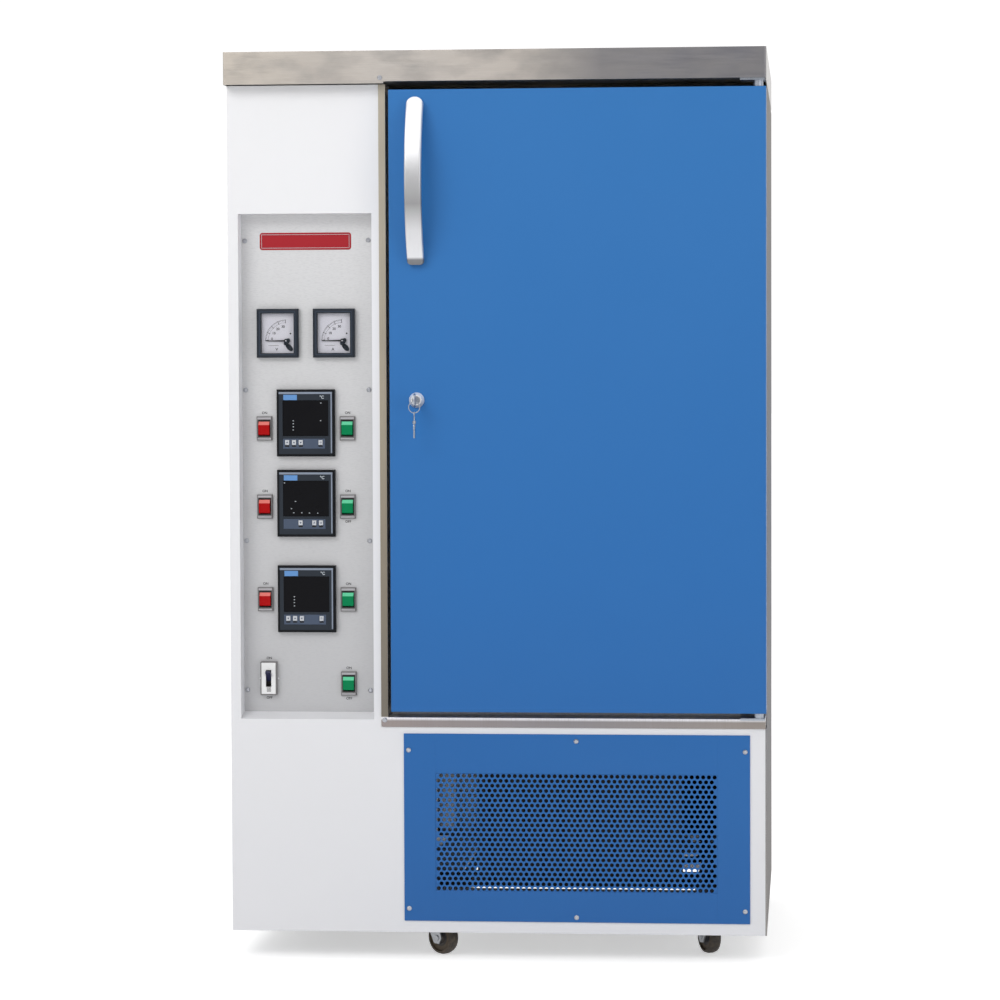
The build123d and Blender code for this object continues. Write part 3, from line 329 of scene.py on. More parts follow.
def facing(tree, axis, low, high):
    """How far a face looks along one axis: 0 at the first value of its normal, 1 at the second."""
    source = tree.nodes.new("ShaderNodeTexCoord")
    split = tree.nodes.new("ShaderNodeSeparateXYZ")
    tree.links.new(source.outputs["Normal"], split.inputs["Vector"])
    return spread(tree, split.outputs[axis], 0.0, 1.0, low, high)


# Materials


def painted(name, colour, roughness):
    """Sprayed paint: fine orange peel and a faint change of gloss."""
    material, tree, surface = shader(name, colour, 0.0, roughness, Specular_IOR_Level=0.3)
    bump(tree, surface, noise(tree, 420.0, 3.0), 0.12, 0.0004)
    gloss = spread(tree, noise(tree, 6.0, 4.0), roughness - 0.05, roughness + 0.07, 0.3, 0.7)
    tree.links.new(gloss, surface.inputs["Roughness"])
    return material, tree, surface


def white_paint():
    """White panels, with painted shade: a little greyer towards the floor."""
    material, tree, surface = painted("white_paint", srgb(238, 238, 240), 0.42)
    # Painted shade: greyer towards the floor, lighter towards the top.
    colour = stops_along(tree, 2, PANEL_Z, ((0.0, srgb(226, 226, 229)), (1.0, srgb(243, 243, 245))))
    dust = spread(tree, noise(tree, 3.0, 5.0), 0.0, 0.25, 0.45, 0.75)
    tree.links.new(blend_colours(tree, dust, colour, srgb(228, 228, 229)), surface.inputs["Base Color"])
    return material


def blue_paint():
    """The door's blue, with painted light: a little lighter towards the top."""
    material, tree, surface = painted("blue_paint", srgb(46, 112, 180), 0.4)
    # Painted light from above: the blue darker at the foot and lighter at the top.
    stops = ((0.0, srgb(34, 94, 160)), (0.45, srgb(38, 107, 176)), (1.0, srgb(46, 115, 182)))
    colour = stops_along(tree, 2, DOOR_Z, stops)
    dust = spread(tree, noise(tree, 2.2, 4.0), 0.0, 0.10, 0.45, 0.75)
    tree.links.new(blend_colours(tree, dust, colour, srgb(64, 126, 190)), surface.inputs["Base Color"])
    return material


def steel_finish(tree, surface, colour, stretch, cloud, roughness):
    """Soft handling marks and fine polishing lines over a steel's colour."""
    smudge = spread(tree, noise(tree, 5.0, 7.0, (1.0, 1.0, 1.6)), 0.0, 0.3, 0.4, 0.8)
    colour = blend_colours(tree, smudge, colour, cloud)
    lines = noise(tree, 900.0, 2.0, stretch)
    fine = spread(tree, lines, 0.0, 0.16, 0.4, 0.7)
    tree.links.new(blend_colours(tree, fine, colour, cloud), surface.inputs["Base Color"])
    gloss = spread(tree, lines, roughness - 0.06, roughness + 0.08, 0.3, 0.7)
    tree.links.new(gloss, surface.inputs["Roughness"])
    bump(tree, surface, lines, 0.04, 0.0001)


def brushed(name, dark, light, roughness, stretch=EVEN, metallic=0.85):
    """Brushed metal: fine lines along one direction, and faint cloudy marks."""
    material, tree, surface = shader(name, light, metallic, roughness)
    steel_finish(tree, surface, light, stretch, dark, roughness)
    return material


def cap_steel():
    """Steel of the cap, with a painted reflection: warm and light on the left, and grey towards the
    right.
    """
    material, tree, surface = shader("cap_steel", srgb(160, 156, 150), 0.75, 0.34)
    # Painted reflection of the room along the cap's width.
    colour = stops_along(tree, 0, CABINET_X, (
        (0.0, srgb(202, 193, 182)),
        (0.3, srgb(206, 199, 192)),
        (0.55, srgb(200, 192, 184)),
        (0.7, srgb(136, 134, 136)),
        (1.0, srgb(118, 118, 125)),
    ))
    clouds = spread(tree, noise(tree, 20.0, 7.0, (1.0, 1.0, 2.0)), 0.0, 0.5, 0.42, 0.7)
    colour = blend_colours(tree, clouds, colour, srgb(142, 139, 137))
    # The painted reflection stays on faces that look to the front; the other faces get an even grey.
    colour = blend_colours(tree, facing(tree, 1, -0.3, -0.8), srgb(186, 184, 181), colour)
    steel_finish(tree, surface, colour, ALONG_X, srgb(136, 133, 131), 0.34)
    return material


def strip_steel():
    """Door surround, with painted light: painted shade makes the strip darker towards its foot, a painted
    reflection runs along the bar, and a painted highlight gives the bar a bright upper edge.
    """
    material, tree, surface = shader("strip_steel", srgb(160, 150, 134), 0.75, 0.34)
    # Painted shade: the strip darker towards its foot.
    strip = stops_along(tree, 2, STRIP_Z, (
        (0.0, srgb(116, 110, 101)),
        (0.3, srgb(150, 140, 124)),
        (0.5, srgb(176, 165, 146)),
        (1.0, srgb(196, 187, 170)),
    ))
    # Painted reflection along the bar's length.
    bar = stops_along(tree, 0, BAR_X, (
        (0.0, srgb(150, 140, 138)),
        (0.5, srgb(138, 135, 139)),
        (1.0, srgb(152, 144, 139)),
    ))
    # Painted highlight along the bar's upper edge.
    edge = spread(tree, place_along(tree, 2), 0.0, 0.85, BAR_TOP - 0.005, BAR_TOP - 0.002)
    bar = blend_colours(tree, edge, bar, srgb(244, 244, 248))
    beside = spread(tree, place_along(tree, 0), 0.0, 1.0, STRIP_RIGHT, STRIP_RIGHT + 0.001)
    strip = blend_colours(tree, beside, strip, srgb(178, 176, 172))
    above = spread(tree, place_along(tree, 2), 0.0, 1.0, BAR_TOP, BAR_TOP + 0.001)
    colour = blend_colours(tree, above, bar, strip)
    steel_finish(tree, surface, colour, ALONG_Z, srgb(138, 130, 120), 0.34)
    return material


def side_steel():
    """Right side, which mirrors little of the room at a flat angle, with a painted reflection that
    changes along its height.
    """
    material, tree, surface = shader("side_steel", srgb(120, 120, 124), 0.85, 0.42)
    surface.inputs["Specular Tint"].default_value = srgb(130, 130, 132)
    # Painted reflection: lighter at the foot and the top, greyer in the middle.
    colour = stops_along(tree, 2, SIDE_Z, (
        (0.0, srgb(150, 146, 142)),
        (0.5, srgb(134, 137, 145)),
        (1.0, srgb(168, 164, 158)),
    ))
    steel_finish(tree, surface, colour, ALONG_Z, srgb(116, 116, 118), 0.42)
    return material


def inner_steel():
    """Liner and shelves."""
    return brushed("inner_steel", srgb(160, 161, 163), srgb(200, 201, 203), 0.3, ALONG_Z)


def plate_metal():
    """Satin control plate, with painted light that makes it lighter at the top."""
    material, tree, surface = shader("plate_metal", srgb(190, 190, 192), 0.35, 0.5)
    # Painted light: the plate lighter at the top.
    colour = stops_along(tree, 2, PLATE_Z, ((0.0, srgb(186, 186, 188)), (1.0, srgb(214, 214, 215))))
    grain = noise(tree, 900.0, 3.0, (0.2, 1.0, 1.0))
    fleck = spread(tree, grain, 0.0, 0.3, 0.45, 0.8)
    tree.links.new(blend_colours(tree, fleck, colour, srgb(168, 168, 171)), surface.inputs["Base Color"])
    bump(tree, surface, grain, 0.06, 0.0002)
    return material


def zinc():
    """Plated frame and casters."""
    return brushed("zinc", srgb(132, 134, 138), srgb(182, 184, 188), 0.36)


def satin_chrome():
    """Satin plating of the lock's face with worn marks in its gloss: pale, with painted shade that makes
    it greyer underneath.
    """
    material, tree, surface = shader("satin_chrome", srgb(236, 236, 238), 0.45, 0.3)
    marks = noise(tree, 260.0, 3.0)
    tree.links.new(spread(tree, marks, 0.24, 0.4, 0.3, 0.7), surface.inputs["Roughness"])
    # Painted light and shade: faces turned up are paler, faces turned down greyer.
    shade = blend_colours(tree, facing(tree, 2, -0.8, 0.5), srgb(176, 176, 178), srgb(250, 250, 251))
    tree.links.new(shade, surface.inputs["Base Color"])
    bump(tree, surface, marks, 0.05, 0.0001)
    return material


def chrome():
    """Bright plating with small changes of gloss."""
    material, tree, surface = shader("chrome", srgb(206, 206, 210), 1.0, 0.16)
    gloss = spread(tree, noise(tree, 140.0, 3.0), 0.1, 0.26, 0.35, 0.7)
    tree.links.new(gloss, surface.inputs["Roughness"])
    bump(tree, surface, noise(tree, 900.0, 2.0), 0.05, 0.0001)
    return material


def handle_metal():
    """Satin silver handle with a grey end cap at its foot."""
    material, tree, surface = shader("handle_metal", srgb(226, 226, 228), 0.55, 0.36)
    silver = srgb(238, 238, 240)
    stops = (
        (0.0, srgb(120, 120, 122)),
        (0.03, srgb(126, 126, 128)),
        (0.045, srgb(224, 224, 226)),
        (0.2, srgb(206, 206, 208)),
        (0.36, srgb(146, 146, 147)),
        (0.55, srgb(196, 196, 198)),
        (0.75, silver),
        (1.0, silver),
    )
    tree.links.new(stops_along(tree, 2, HANDLE_Z, stops), surface.inputs["Base Color"])
    gloss = spread(tree, noise(tree, 300.0, 3.0), 0.3, 0.42, 0.35, 0.7)
    tree.links.new(gloss, surface.inputs["Roughness"])
    return material


def plastic(name, colour, roughness, grain=600.0, mirror=0.3):
    """Moulded plastic with a fine texture."""
    material, tree, surface = shader(name, colour, 0.0, roughness, Specular_IOR_Level=mirror)
    bump(tree, surface, noise(tree, grain, 3.0), 0.15, 0.0002)
    gloss = spread(tree, noise(tree, 30.0, 3.0), roughness - 0.05, roughness + 0.08, 0.3, 0.7)
    tree.links.new(gloss, surface.inputs["Roughness"])
    return material


def clear_window():
    """Thin clear pane with a faint mirror."""
    material, tree, surface = shader("clear_window", (0.02, 0.02, 0.02, 1.0), 0.0, 0.03, Alpha=0.06)
    surface.inputs["Specular IOR Level"].default_value = 0.25
    gloss = spread(tree, noise(tree, 12.0, 2.0), 0.02, 0.06, 0.3, 0.7)
    tree.links.new(gloss, surface.inputs["Roughness"])
    return material


def wool():
    """Yellow glass wool."""
    material, tree, surface = shader("wool", srgb(232, 214, 140), 0.0, 0.95)
    fibres = noise(tree, 90.0, 8.0, (1.0, 1.0, 3.0))
    colour = ramp(tree, fibres, ((0.3, srgb(206, 182, 100)), (0.7, srgb(240, 226, 160))))
    tree.links.new(colour, surface.inputs["Base Color"])
    bump(tree, surface, fibres, 0.8, 0.003)
    return material


def wheel_rubber(name, centre, axis):
    """Dark brown rubber tread round a blue-grey hub, told apart by the distance from the axle."""
    material, tree, surface = shader(name, srgb(58, 50, 42), 0.0, 0.6)
    arm = tree.nodes.new("ShaderNodeVectorMath")
    arm.operation = "SUBTRACT"
    arm.inputs[1].default_value = centre
    tree.links.new(coordinates(tree), arm.inputs[0])
    across = tree.nodes.new("ShaderNodeVectorMath")
    across.operation = "CROSS_PRODUCT"
    across.inputs[1].default_value = axis
    tree.links.new(arm.outputs[0], across.inputs[0])
    length = tree.nodes.new("ShaderNodeVectorMath")
    length.operation = "LENGTH"
    tree.links.new(across.outputs[0], length.inputs[0])
    radius = spread(tree, length.outputs["Value"], 0.0, 1.0, 0.0, WHEEL_RADIUS)
    stops = (
        (0.0, srgb(60, 64, 72)),
        (0.5, srgb(40, 43, 50)),
        (0.56, srgb(92, 78, 60)),
        (0.74, srgb(74, 62, 48)),
        (1.0, srgb(50, 44, 38)),
    )
    colour = ramp(tree, radius, stops)
    dirt = spread(tree, noise(tree, 160.0, 5.0), 0.0, 0.5, 0.4, 0.75)
    tree.links.new(blend_colours(tree, dirt, colour, srgb(104, 92, 76)), surface.inputs["Base Color"])
    bump(tree, surface, noise(tree, 500.0, 4.0), 0.3, 0.0004)
    return material


def rocker_plastic(name, colour, highlight_colour):
    """Glossy rocker, with a painted highlight that makes it paler where it faces up."""
    material, tree, surface = shader(name, colour, 0.0, 0.25, Specular_IOR_Level=0.1)
    # Painted highlight on faces that look up.
    shade = blend_colours(tree, facing(tree, 2, 0.15, 0.5), colour, highlight_colour)
    tree.links.new(shade, surface.inputs["Base Color"])
    bump(tree, surface, noise(tree, 700.0, 2.0), 0.05, 0.0001)
    return material


MATERIALS = {
    "white": white_paint(),
    "blue": blue_paint(),
    "cap": cap_steel(),
    "strip": strip_steel(),
    "inner": inner_steel(),
    "plate": plate_metal(),
    "zinc": zinc(),
    "side": side_steel(),
    "chrome": chrome(),
    "satin_chrome": satin_chrome(),
    "key_steel": brushed("key_steel", srgb(96, 102, 112), srgb(168, 174, 184), 0.32),
    "screw": brushed("screw", srgb(120, 122, 128), srgb(180, 182, 188), 0.3),
    "handle": handle_metal(),
    "window": clear_window(),
    "wool": wool(),
    "fins": brushed("fins", srgb(150, 152, 155), srgb(205, 207, 210), 0.4),
    "brass": brushed("brass", srgb(170, 130, 60), srgb(214, 178, 100), 0.3, metallic=1.0),
    "bezel": plastic("bezel", srgb(30, 38, 48), 0.35),
    "case": plastic("case", srgb(13, 15, 19), 0.4, mirror=0.15),
    "frame_grey": plastic("frame_grey", srgb(120, 118, 118), 0.4),
    "black": plastic("black", srgb(16, 16, 18), 0.3),
    "gasket": plastic("gasket", srgb(34, 34, 36), 0.7, 300.0),
    "keys": plastic("keys", srgb(200, 203, 208), 0.55),
    "dial": plastic("dial", srgb(232, 231, 240), 0.6),
    "enamel": plastic("enamel", srgb(22, 22, 24), 0.3, 200.0),
    # The second colour of each rocker is its painted highlight.
    "red": rocker_plastic("red", srgb(172, 6, 10), srgb(232, 126, 118)),
    "green": rocker_plastic("green", srgb(0, 128, 78), srgb(104, 210, 162)),
    "lever": plastic("lever", srgb(30, 32, 66), 0.4),
    "ivory": plastic("ivory", srgb(236, 236, 236), 0.4),
    "ink": plastic("ink", srgb(30, 30, 32), 0.6),
    "red_ink": plastic("red_ink", srgb(166, 24, 36), 0.5),
    "display": plastic("display", srgb(12, 12, 16), 0.3, mirror=0.1),
    "slate": plastic("slate", srgb(70, 82, 102), 0.45),
    "sky": plastic("sky", srgb(98, 146, 202), 0.5),
    "pale": plastic("pale", srgb(206, 214, 220), 0.5),
    "rim": plastic("rim", srgb(176, 174, 178), 0.35),
    "bezel_light": plastic("bezel_light", srgb(136, 146, 162), 0.35),
}

NODE_MATERIALS = {
    "base_frame": "zinc",
    "left_side_panel": "white",
    "right_side_panel": "side",
    "rear_panel": "white",
    "top_cap": "cap",
    "front_panel": "white",
    "door_frame": "strip",
    "hinge_brackets": "key_steel",
    "control_plate": "plate",
    "panel_screws": "screw",
    "meter_cases": "bezel",
    "meter_dials": "dial",
    "instrument_windows": "window",
    "controller_cases": "case",
    "switch_housings": "frame_grey",
    "inner_liner": "inner",
    "cabinet_insulation": "wool",
    "shelves": "inner",
    "air_duct_panel": "inner",
    "fan_motors": "enamel",
    "heater_coil": "inner",
    "evaporator_coil": "fins",
    "humidifier": "inner",
    "sensor_probe": "chrome",
    "compressor": "enamel",
    "condenser_coil": "enamel",
    "relay_tray": "case",
    "caster_mounts": "zinc",
    "door_shell": "blue",
    "door_core": "wool",
    "door_liner": "inner",
    "door_gasket": "gasket",
    "door_handle": "handle",
    "door_hinge_bushes": "brass",
    "lock_barrel": "satin_chrome",
    "lock_plug": "key_steel",
    "key_ring": "key_steel",
    "breaker_lever": "lever",
    "meter_needle_left": "ink",
    "meter_needle_right": "ink",
    "circulation_fan": "fins",
    "condenser_fan": "black",
    "caster_fork_front_left": "zinc",
    "caster_fork_front_right": "zinc",
}


def dress(node, material):
    """Gives a CAD node its material."""
    mesh = frame["nodes"][node].data
    mesh.materials.clear()
    mesh.materials.append(material)


for node, key in NODE_MATERIALS.items():
    dress(node, MATERIALS[key])
for node in frame["nodes"]:
    if node.startswith("rocker_"):
        dress(node, MATERIALS["red" if "red" in node else "green"])
    if node.startswith("controller_keypad"):
        dress(node, MATERIALS["keys"])
for joint in frame["joints"]:
    if joint["child"].startswith("wheel_"):
        node = "caster_" + joint["child"]
        dress(node, wheel_rubber(node + "_rubber", joint["pos_m"], joint["axis"]))


# Pieces


def piece(name, bm, material, body="cabinet", smooth=False):
    """Turns a bmesh in millimetres into a piece that rides on a body."""
    bmesh.ops.recalc_face_normals(bm, faces=bm.faces)
    bmesh.ops.scale(bm, vec=(MM, MM, MM), verts=bm.verts)
    mesh = bpy.data.meshes.new(name)
    bm.to_mesh(mesh)
    bm.free()
    for polygon in mesh.polygons:
        polygon.use_smooth = smooth
    obj = bpy.data.objects.new(name, mesh)
    bpy.context.scene.collection.objects.link(obj)
    mesh.materials.append(MATERIALS[material])
    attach(obj, body)
    return obj


def slab(bm, x, y, z):
    """Box between pairs of X, Y and Z."""
    size = Vector((x[1] - x[0], y[1] - y[0], z[1] - z[0]))
    middle = Vector(((x[0] + x[1]) / 2, (y[0] + y[1]) / 2, (z[0] + z[1]) / 2))
    matrix = Matrix.Translation(middle) @ Matrix.Diagonal((*size, 1.0))
    return bmesh.ops.create_cube(bm, size=1.0, matrix=matrix)["verts"]


def prism(bm, outline, front, back):
    """Outline of (x, z) points, given depth along Y."""
    low = [bm.verts.new((x, front, z)) for x, z in outline]
    high = [bm.verts.new((x, back, z)) for x, z in outline]
    bm.faces.new(low)
    bm.faces.new(high)
    count = len(outline)
    for index in range(count):
        after = (index + 1) % count
        bm.faces.new((low[index], low[after], high[after], high[index]))


def oval_outline(x, z, size, turn, count=24):
    """Points of an oval with two half-axes, turned by an angle in radians."""
    cosine, sine = math.cos(turn), math.sin(turn)
    points = []
    for index in range(count):
        angle = 2 * math.pi * index / count
        a = size[0] * math.cos(angle)
        b = size[1] * math.sin(angle)
        points.append((x + a * cosine - b * sine, z + a * sine + b * cosine))
    return points


def rounded(x, z, radius, steps=5):
    """Rectangle between pairs of X and Z with round corners."""
    points = []
    corners = ((x[1], z[1], 0.0), (x[0], z[1], 90.0), (x[0], z[0], 180.0), (x[1], z[0], 270.0))
    for corner_x, corner_z, start in corners:
        centre_x = corner_x - radius if corner_x == x[1] else corner_x + radius
        centre_z = corner_z - radius if corner_z == z[1] else corner_z + radius
        for index in range(steps + 1):
            angle = math.radians(start + 90.0 * index / steps)
            points.append((centre_x + radius * math.cos(angle), centre_z + radius * math.sin(angle)))
    return points


def on_plate(place):
    """X and Z of a place measured from the recess's left edge and its sill."""
    return RECESS_LEFT + place[0], SILL + place[1]


def lettering(name, text, x, z, y, height, material, body="cabinet"):
    """Flat text that faces the front, centred on x and z."""
    curve = bpy.data.curves.new(name, "FONT")
    curve.body = text
    curve.size = height * MM
    curve.align_x = "CENTER"
    curve.align_y = "CENTER"
    curve.extrude = LETTER_THICKNESS * MM
    curve.offset = height * MM * LETTER_WEIGHT
    obj = bpy.data.objects.new(name, curve)
    obj.rotation_euler = (math.pi / 2, 0.0, 0.0)
    obj.location = (x * MM, y * MM, z * MM)
    bpy.context.scene.collection.objects.link(obj)
    curve.materials.append(MATERIALS[material])
    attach(obj, body)
    return obj


def cell_angles(corner):
    """Angles of the points round one hole, with one towards each corner of its cell."""
    quarter = [0.0, corner / 2, corner, (corner + math.pi / 2) / 2]
    angles = []
    for start in (0.0, math.pi):
        angles += [start + angle for angle in quarter]
        angles += [start + math.pi / 2]
        angles += [start + math.pi - angle for angle in reversed(quarter[1:])]
    return angles


def perforated_cell(bm, middle, half, angles, depth):
    """One cell of the sheet, a rectangle with a round hole."""
    hole, rim = [], []
    for angle in angles:
        cosine, sine = math.cos(angle), math.sin(angle)
        reach = min(half[0] / max(abs(cosine), TINY), half[1] / max(abs(sine), TINY))
        hole.append((middle[0] + HOLE_DIAMETER / 2 * cosine, middle[1] + HOLE_DIAMETER / 2 * sine))
        rim.append((middle[0] + reach * cosine, middle[1] + reach * sine))
    front, back = depth
    rings = []
    for points, y in ((rim, front), (hole, front), (hole, back), (rim, back)):
        rings.append([bm.verts.new((x, y, z)) for x, z in points])
    for first, second in zip(rings, rings[1:]):
        for index in range(len(angles)):
            after = (index + 1) % len(angles)
            bm.faces.new((first[index], first[after], second[after], second[index]))


def perforated_panel():
    """Blue panel with the true field of small round holes in staggered rows."""
    bm = bmesh.new()
    row_height = HOLE_PITCH * math.sqrt(3) / 2
    half_x, half_z = HOLE_PITCH / 2, row_height / 2
    angles = cell_angles(math.atan2(half_z, half_x))
    depth = (GRILLE_Y[0] + FIELD_STEP, GRILLE_Y[1])
    field_left = HOLE_LEFT - half_x
    field_right = HOLE_LEFT + (HOLE_COLUMNS - 1) * HOLE_PITCH + half_x + HOLE_PITCH / 2
    field_top = HOLE_TOP + half_z
    field_bottom = HOLE_TOP - (HOLE_ROWS - 1) * row_height - half_z
    for row in range(HOLE_ROWS):
        z = HOLE_TOP - row * row_height
        shift = 0.0 if row % 2 else HOLE_PITCH / 2
        for column in range(HOLE_COLUMNS):
            x = HOLE_LEFT + column * HOLE_PITCH + shift
            perforated_cell(bm, (x, z), (half_x, half_z), angles, depth)
    for row in range(HOLE_ROWS):
        z = HOLE_TOP - row * row_height
        rest = (field_right - half_x, field_right) if row % 2 else (field_left, field_left + half_x)
        slab(bm, rest, depth, (z - half_z, z + half_z))
    slab(bm, (GRILLE_X[0], field_left), GRILLE_Y, GRILLE_Z)
    slab(bm, (field_right, GRILLE_X[1]), GRILLE_Y, GRILLE_Z)
    slab(bm, (field_left, field_right), GRILLE_Y, (field_top, GRILLE_Z[1]))
    slab(bm, (field_left, field_right), GRILLE_Y, (GRILLE_Z[0], field_bottom))
    obj = piece("perforated_panel", bm, "blue")
    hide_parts("grille_panel")
    return obj


def line_frame(bm, x, z, width, depth):
    """Thin line along the inside of a rectangle's four sides."""
    slab(bm, x, depth, (z[1] - width, z[1]))
    slab(bm, x, depth, (z[0], z[0] + width))
    slab(bm, (x[0], x[0] + width), depth, z)
    slab(bm, (x[1] - width, x[1]), depth, z)


def opening(bm, outer, inner, depth):
    """Flat frame between two rectangles, each given as a pair of X and a pair of Z."""
    slab(bm, (outer[0][0], inner[0][0]), depth, outer[1])
    slab(bm, (inner[0][1], outer[0][1]), depth, outer[1])
    slab(bm, inner[0], depth, (inner[1][1], outer[1][1]))
    slab(bm, inner[0], depth, (outer[1][0], inner[1][0]))


def nameplate():
    """Bare red plate with a pale line round it, where the photo has a sign."""
    bm = bmesh.new()
    prism(bm, rounded(SIGN_X, SIGN_Z, SIGN_CORNER), PLATE_FRONT - 0.5, PLATE_FRONT)
    piece("nameplate", bm, "red_ink")
    bm = bmesh.new()
    line_x = (SIGN_X[0] + SIGN_LINE_INSET, SIGN_X[1] - SIGN_LINE_INSET)
    line_z = (SIGN_Z[0] + SIGN_LINE_INSET, SIGN_Z[1] - SIGN_LINE_INSET)
    line_frame(bm, line_x, line_z, SIGN_LINE, (PLATE_FRONT - 0.7, PLATE_FRONT - 0.4))
    piece("nameplate_line", bm, "pale")


def oval(bm, x, z, size, turn, depth):
    """Flat oval with two half-axes, turned by some degrees."""
    prism(bm, oval_outline(x, z, size, math.radians(turn)), *depth)


def arc_outline(centre, radius, width, start, end):
    """Four corners of a short stretch of an arc line, between two angles in radians."""
    corners = ((radius, start), (radius, end), (radius - width, end), (radius - width, start))
    points = []
    for reach, angle in corners:
        points.append((centre[0] + reach * math.cos(angle), centre[1] + reach * math.sin(angle)))
    return points


def tick_outline(centre, angle, near, far, half_width):
    """Four corners of a scale line that points away from a centre."""
    aside = (-math.sin(angle) * half_width, math.cos(angle) * half_width)
    points = []
    for reach, way in ((near, 1), (far, 1), (far, -1), (near, -1)):
        points.append((
            centre[0] + reach * math.cos(angle) + way * aside[0],
            centre[1] + reach * math.sin(angle) + way * aside[1],
        ))
    return points


def scale_angle(share):
    """Angle in radians of a place on a meter's scale, from 0 at one end to 1 at the other."""
    return math.radians(SCALE_START + SCALE_SWEEP * share)


def meter_scale(side, place, letter):
    """Printed scale, numbers, pivot cover and zero screw of one panel meter."""
    x, z = on_plate(place)
    pivot = (x + METER_PIVOT[0], z + METER_PIVOT[1])
    print_depth = (DIAL_FACE - 0.1, DIAL_FACE)
    bm = bmesh.new()
    for radius, width in SCALE_ARCS:
        for step in range(ARC_STEPS):
            start = scale_angle(step / ARC_STEPS)
            end = scale_angle((step + 1) / ARC_STEPS)
            prism(bm, arc_outline(pivot, radius, width, start, end), *print_depth)
    for step in range(TICK_STEPS + 1):
        tick = SHORT_TICK if step % LONG_TICK_EVERY else LONG_TICK
        prism(bm, tick_outline(pivot, scale_angle(step / TICK_STEPS), *tick), *print_depth)
    oval(bm, x + ZERO_SCREW[0], z + ZERO_SCREW[1], ZERO_SCREW_SIZE, 0.0, print_depth)
    line_x, line_z = DIAL_LINE
    slab(bm, (x + line_x[0], x + line_x[1]), print_depth, (z + line_z[0], z + line_z[1]))
    piece(f"meter_{side}_scale", bm, "ink")
    bm = bmesh.new()
    for (aside, up), size, turn, (front, back) in PIVOT_COVERS:
        oval(bm, x + aside, z + up, size, turn, (DIAL_FACE - front, DIAL_FACE - back))
    piece(f"meter_{side}_cover", bm, "bezel")
    for index, number in enumerate(DIAL_NUMBERS):
        share = index / (len(DIAL_NUMBERS) - 1)
        angle = math.radians(NUMBER_START - NUMBER_SWEEP * share)
        number_x = pivot[0] + NUMBER_RADIUS * math.cos(angle)
        number_z = pivot[1] + NUMBER_RADIUS * math.sin(angle)
        name = f"meter_{side}_number_{index}"
        lettering(name, number, number_x, number_z, DIAL_FACE - 0.05, NUMBER_HEIGHT, "ink")
    lettering(f"meter_{side}_letter", letter, x - 2.0, z - 23.5, DIAL_FACE - 0.05, 5.5, "ink")


def meter_bezel(side, place):
    """Lighter line round one meter's rim, a painted highlight along the bezel's inner step."""
    x, z = on_plate(place)
    front = PLATE_FRONT - METER_PROUD
    half_x, half_z = METER_SIZE[0] / 2 - RIM_HIGHLIGHT_INSET, METER_SIZE[1] / 2 - RIM_HIGHLIGHT_INSET
    bm = bmesh.new()
    line_frame(bm, (x - half_x, x + half_x), (z - half_z, z + half_z), RIM_HIGHLIGHT_LINE, (front - 0.15, front))
    piece(f"meter_{side}_rim_highlight", bm, "slate")


def face_layer(name, place, boxes, layer, material):
    """Thin piece of a controller's face, from boxes right of and below its case's top left corner."""
    x, z = on_plate(place)
    left, top = x - CONTROLLER_SIZE[0] / 2, z + CONTROLLER_SIZE[1] / 2
    depth = (CONTROLLER_FRONT - layer[0], CONTROLLER_FRONT - layer[1])
    bm = bmesh.new()
    for across, down in boxes:
        slab(bm, (left + across[0], left + across[1]), depth, (top - down[1], top - down[0]))
    piece(name, bm, material)


def key_gaps(columns):
    """Strip pieces between the keys of one row."""
    stops = [KEY_FIELD_X[0]]
    for column in columns:
        stops += [column - KEY_HALF, column + KEY_HALF]
    stops.append(KEY_FIELD_X[1])
    return [(start, end) for start, end in zip(stops[::2], stops[1::2]) if end - start > 0.1]


def key_symbols(number, place, columns):
    """Printed triangles on a controller's keys, and an equals sign on the last one."""
    x, z = on_plate(place)
    left = x - CONTROLLER_SIZE[0] / 2
    middle = z + CONTROLLER_SIZE[1] / 2 - KEY_MIDDLE
    depth = (CONTROLLER_FRONT - 1.1, CONTROLLER_FRONT - 1.0)
    bm = bmesh.new()
    for index, column in enumerate(columns):
        key_x = left + column
        if index == len(columns) - 1:
            for low, high in EQUALS_LINES:
                slab(bm, (key_x - 1.6, key_x + 1.6), depth, (middle + low, middle + high))
        else:
            way = 1 if index % 2 else -1
            foot = middle - way
            prism(bm, ((key_x - 1.5, foot), (key_x + 1.5, foot), (key_x, middle + way * 1.6)), *depth)
    piece(f"controller_{number}_key_symbols", bm, "slate", body=f"keypad_{number}")


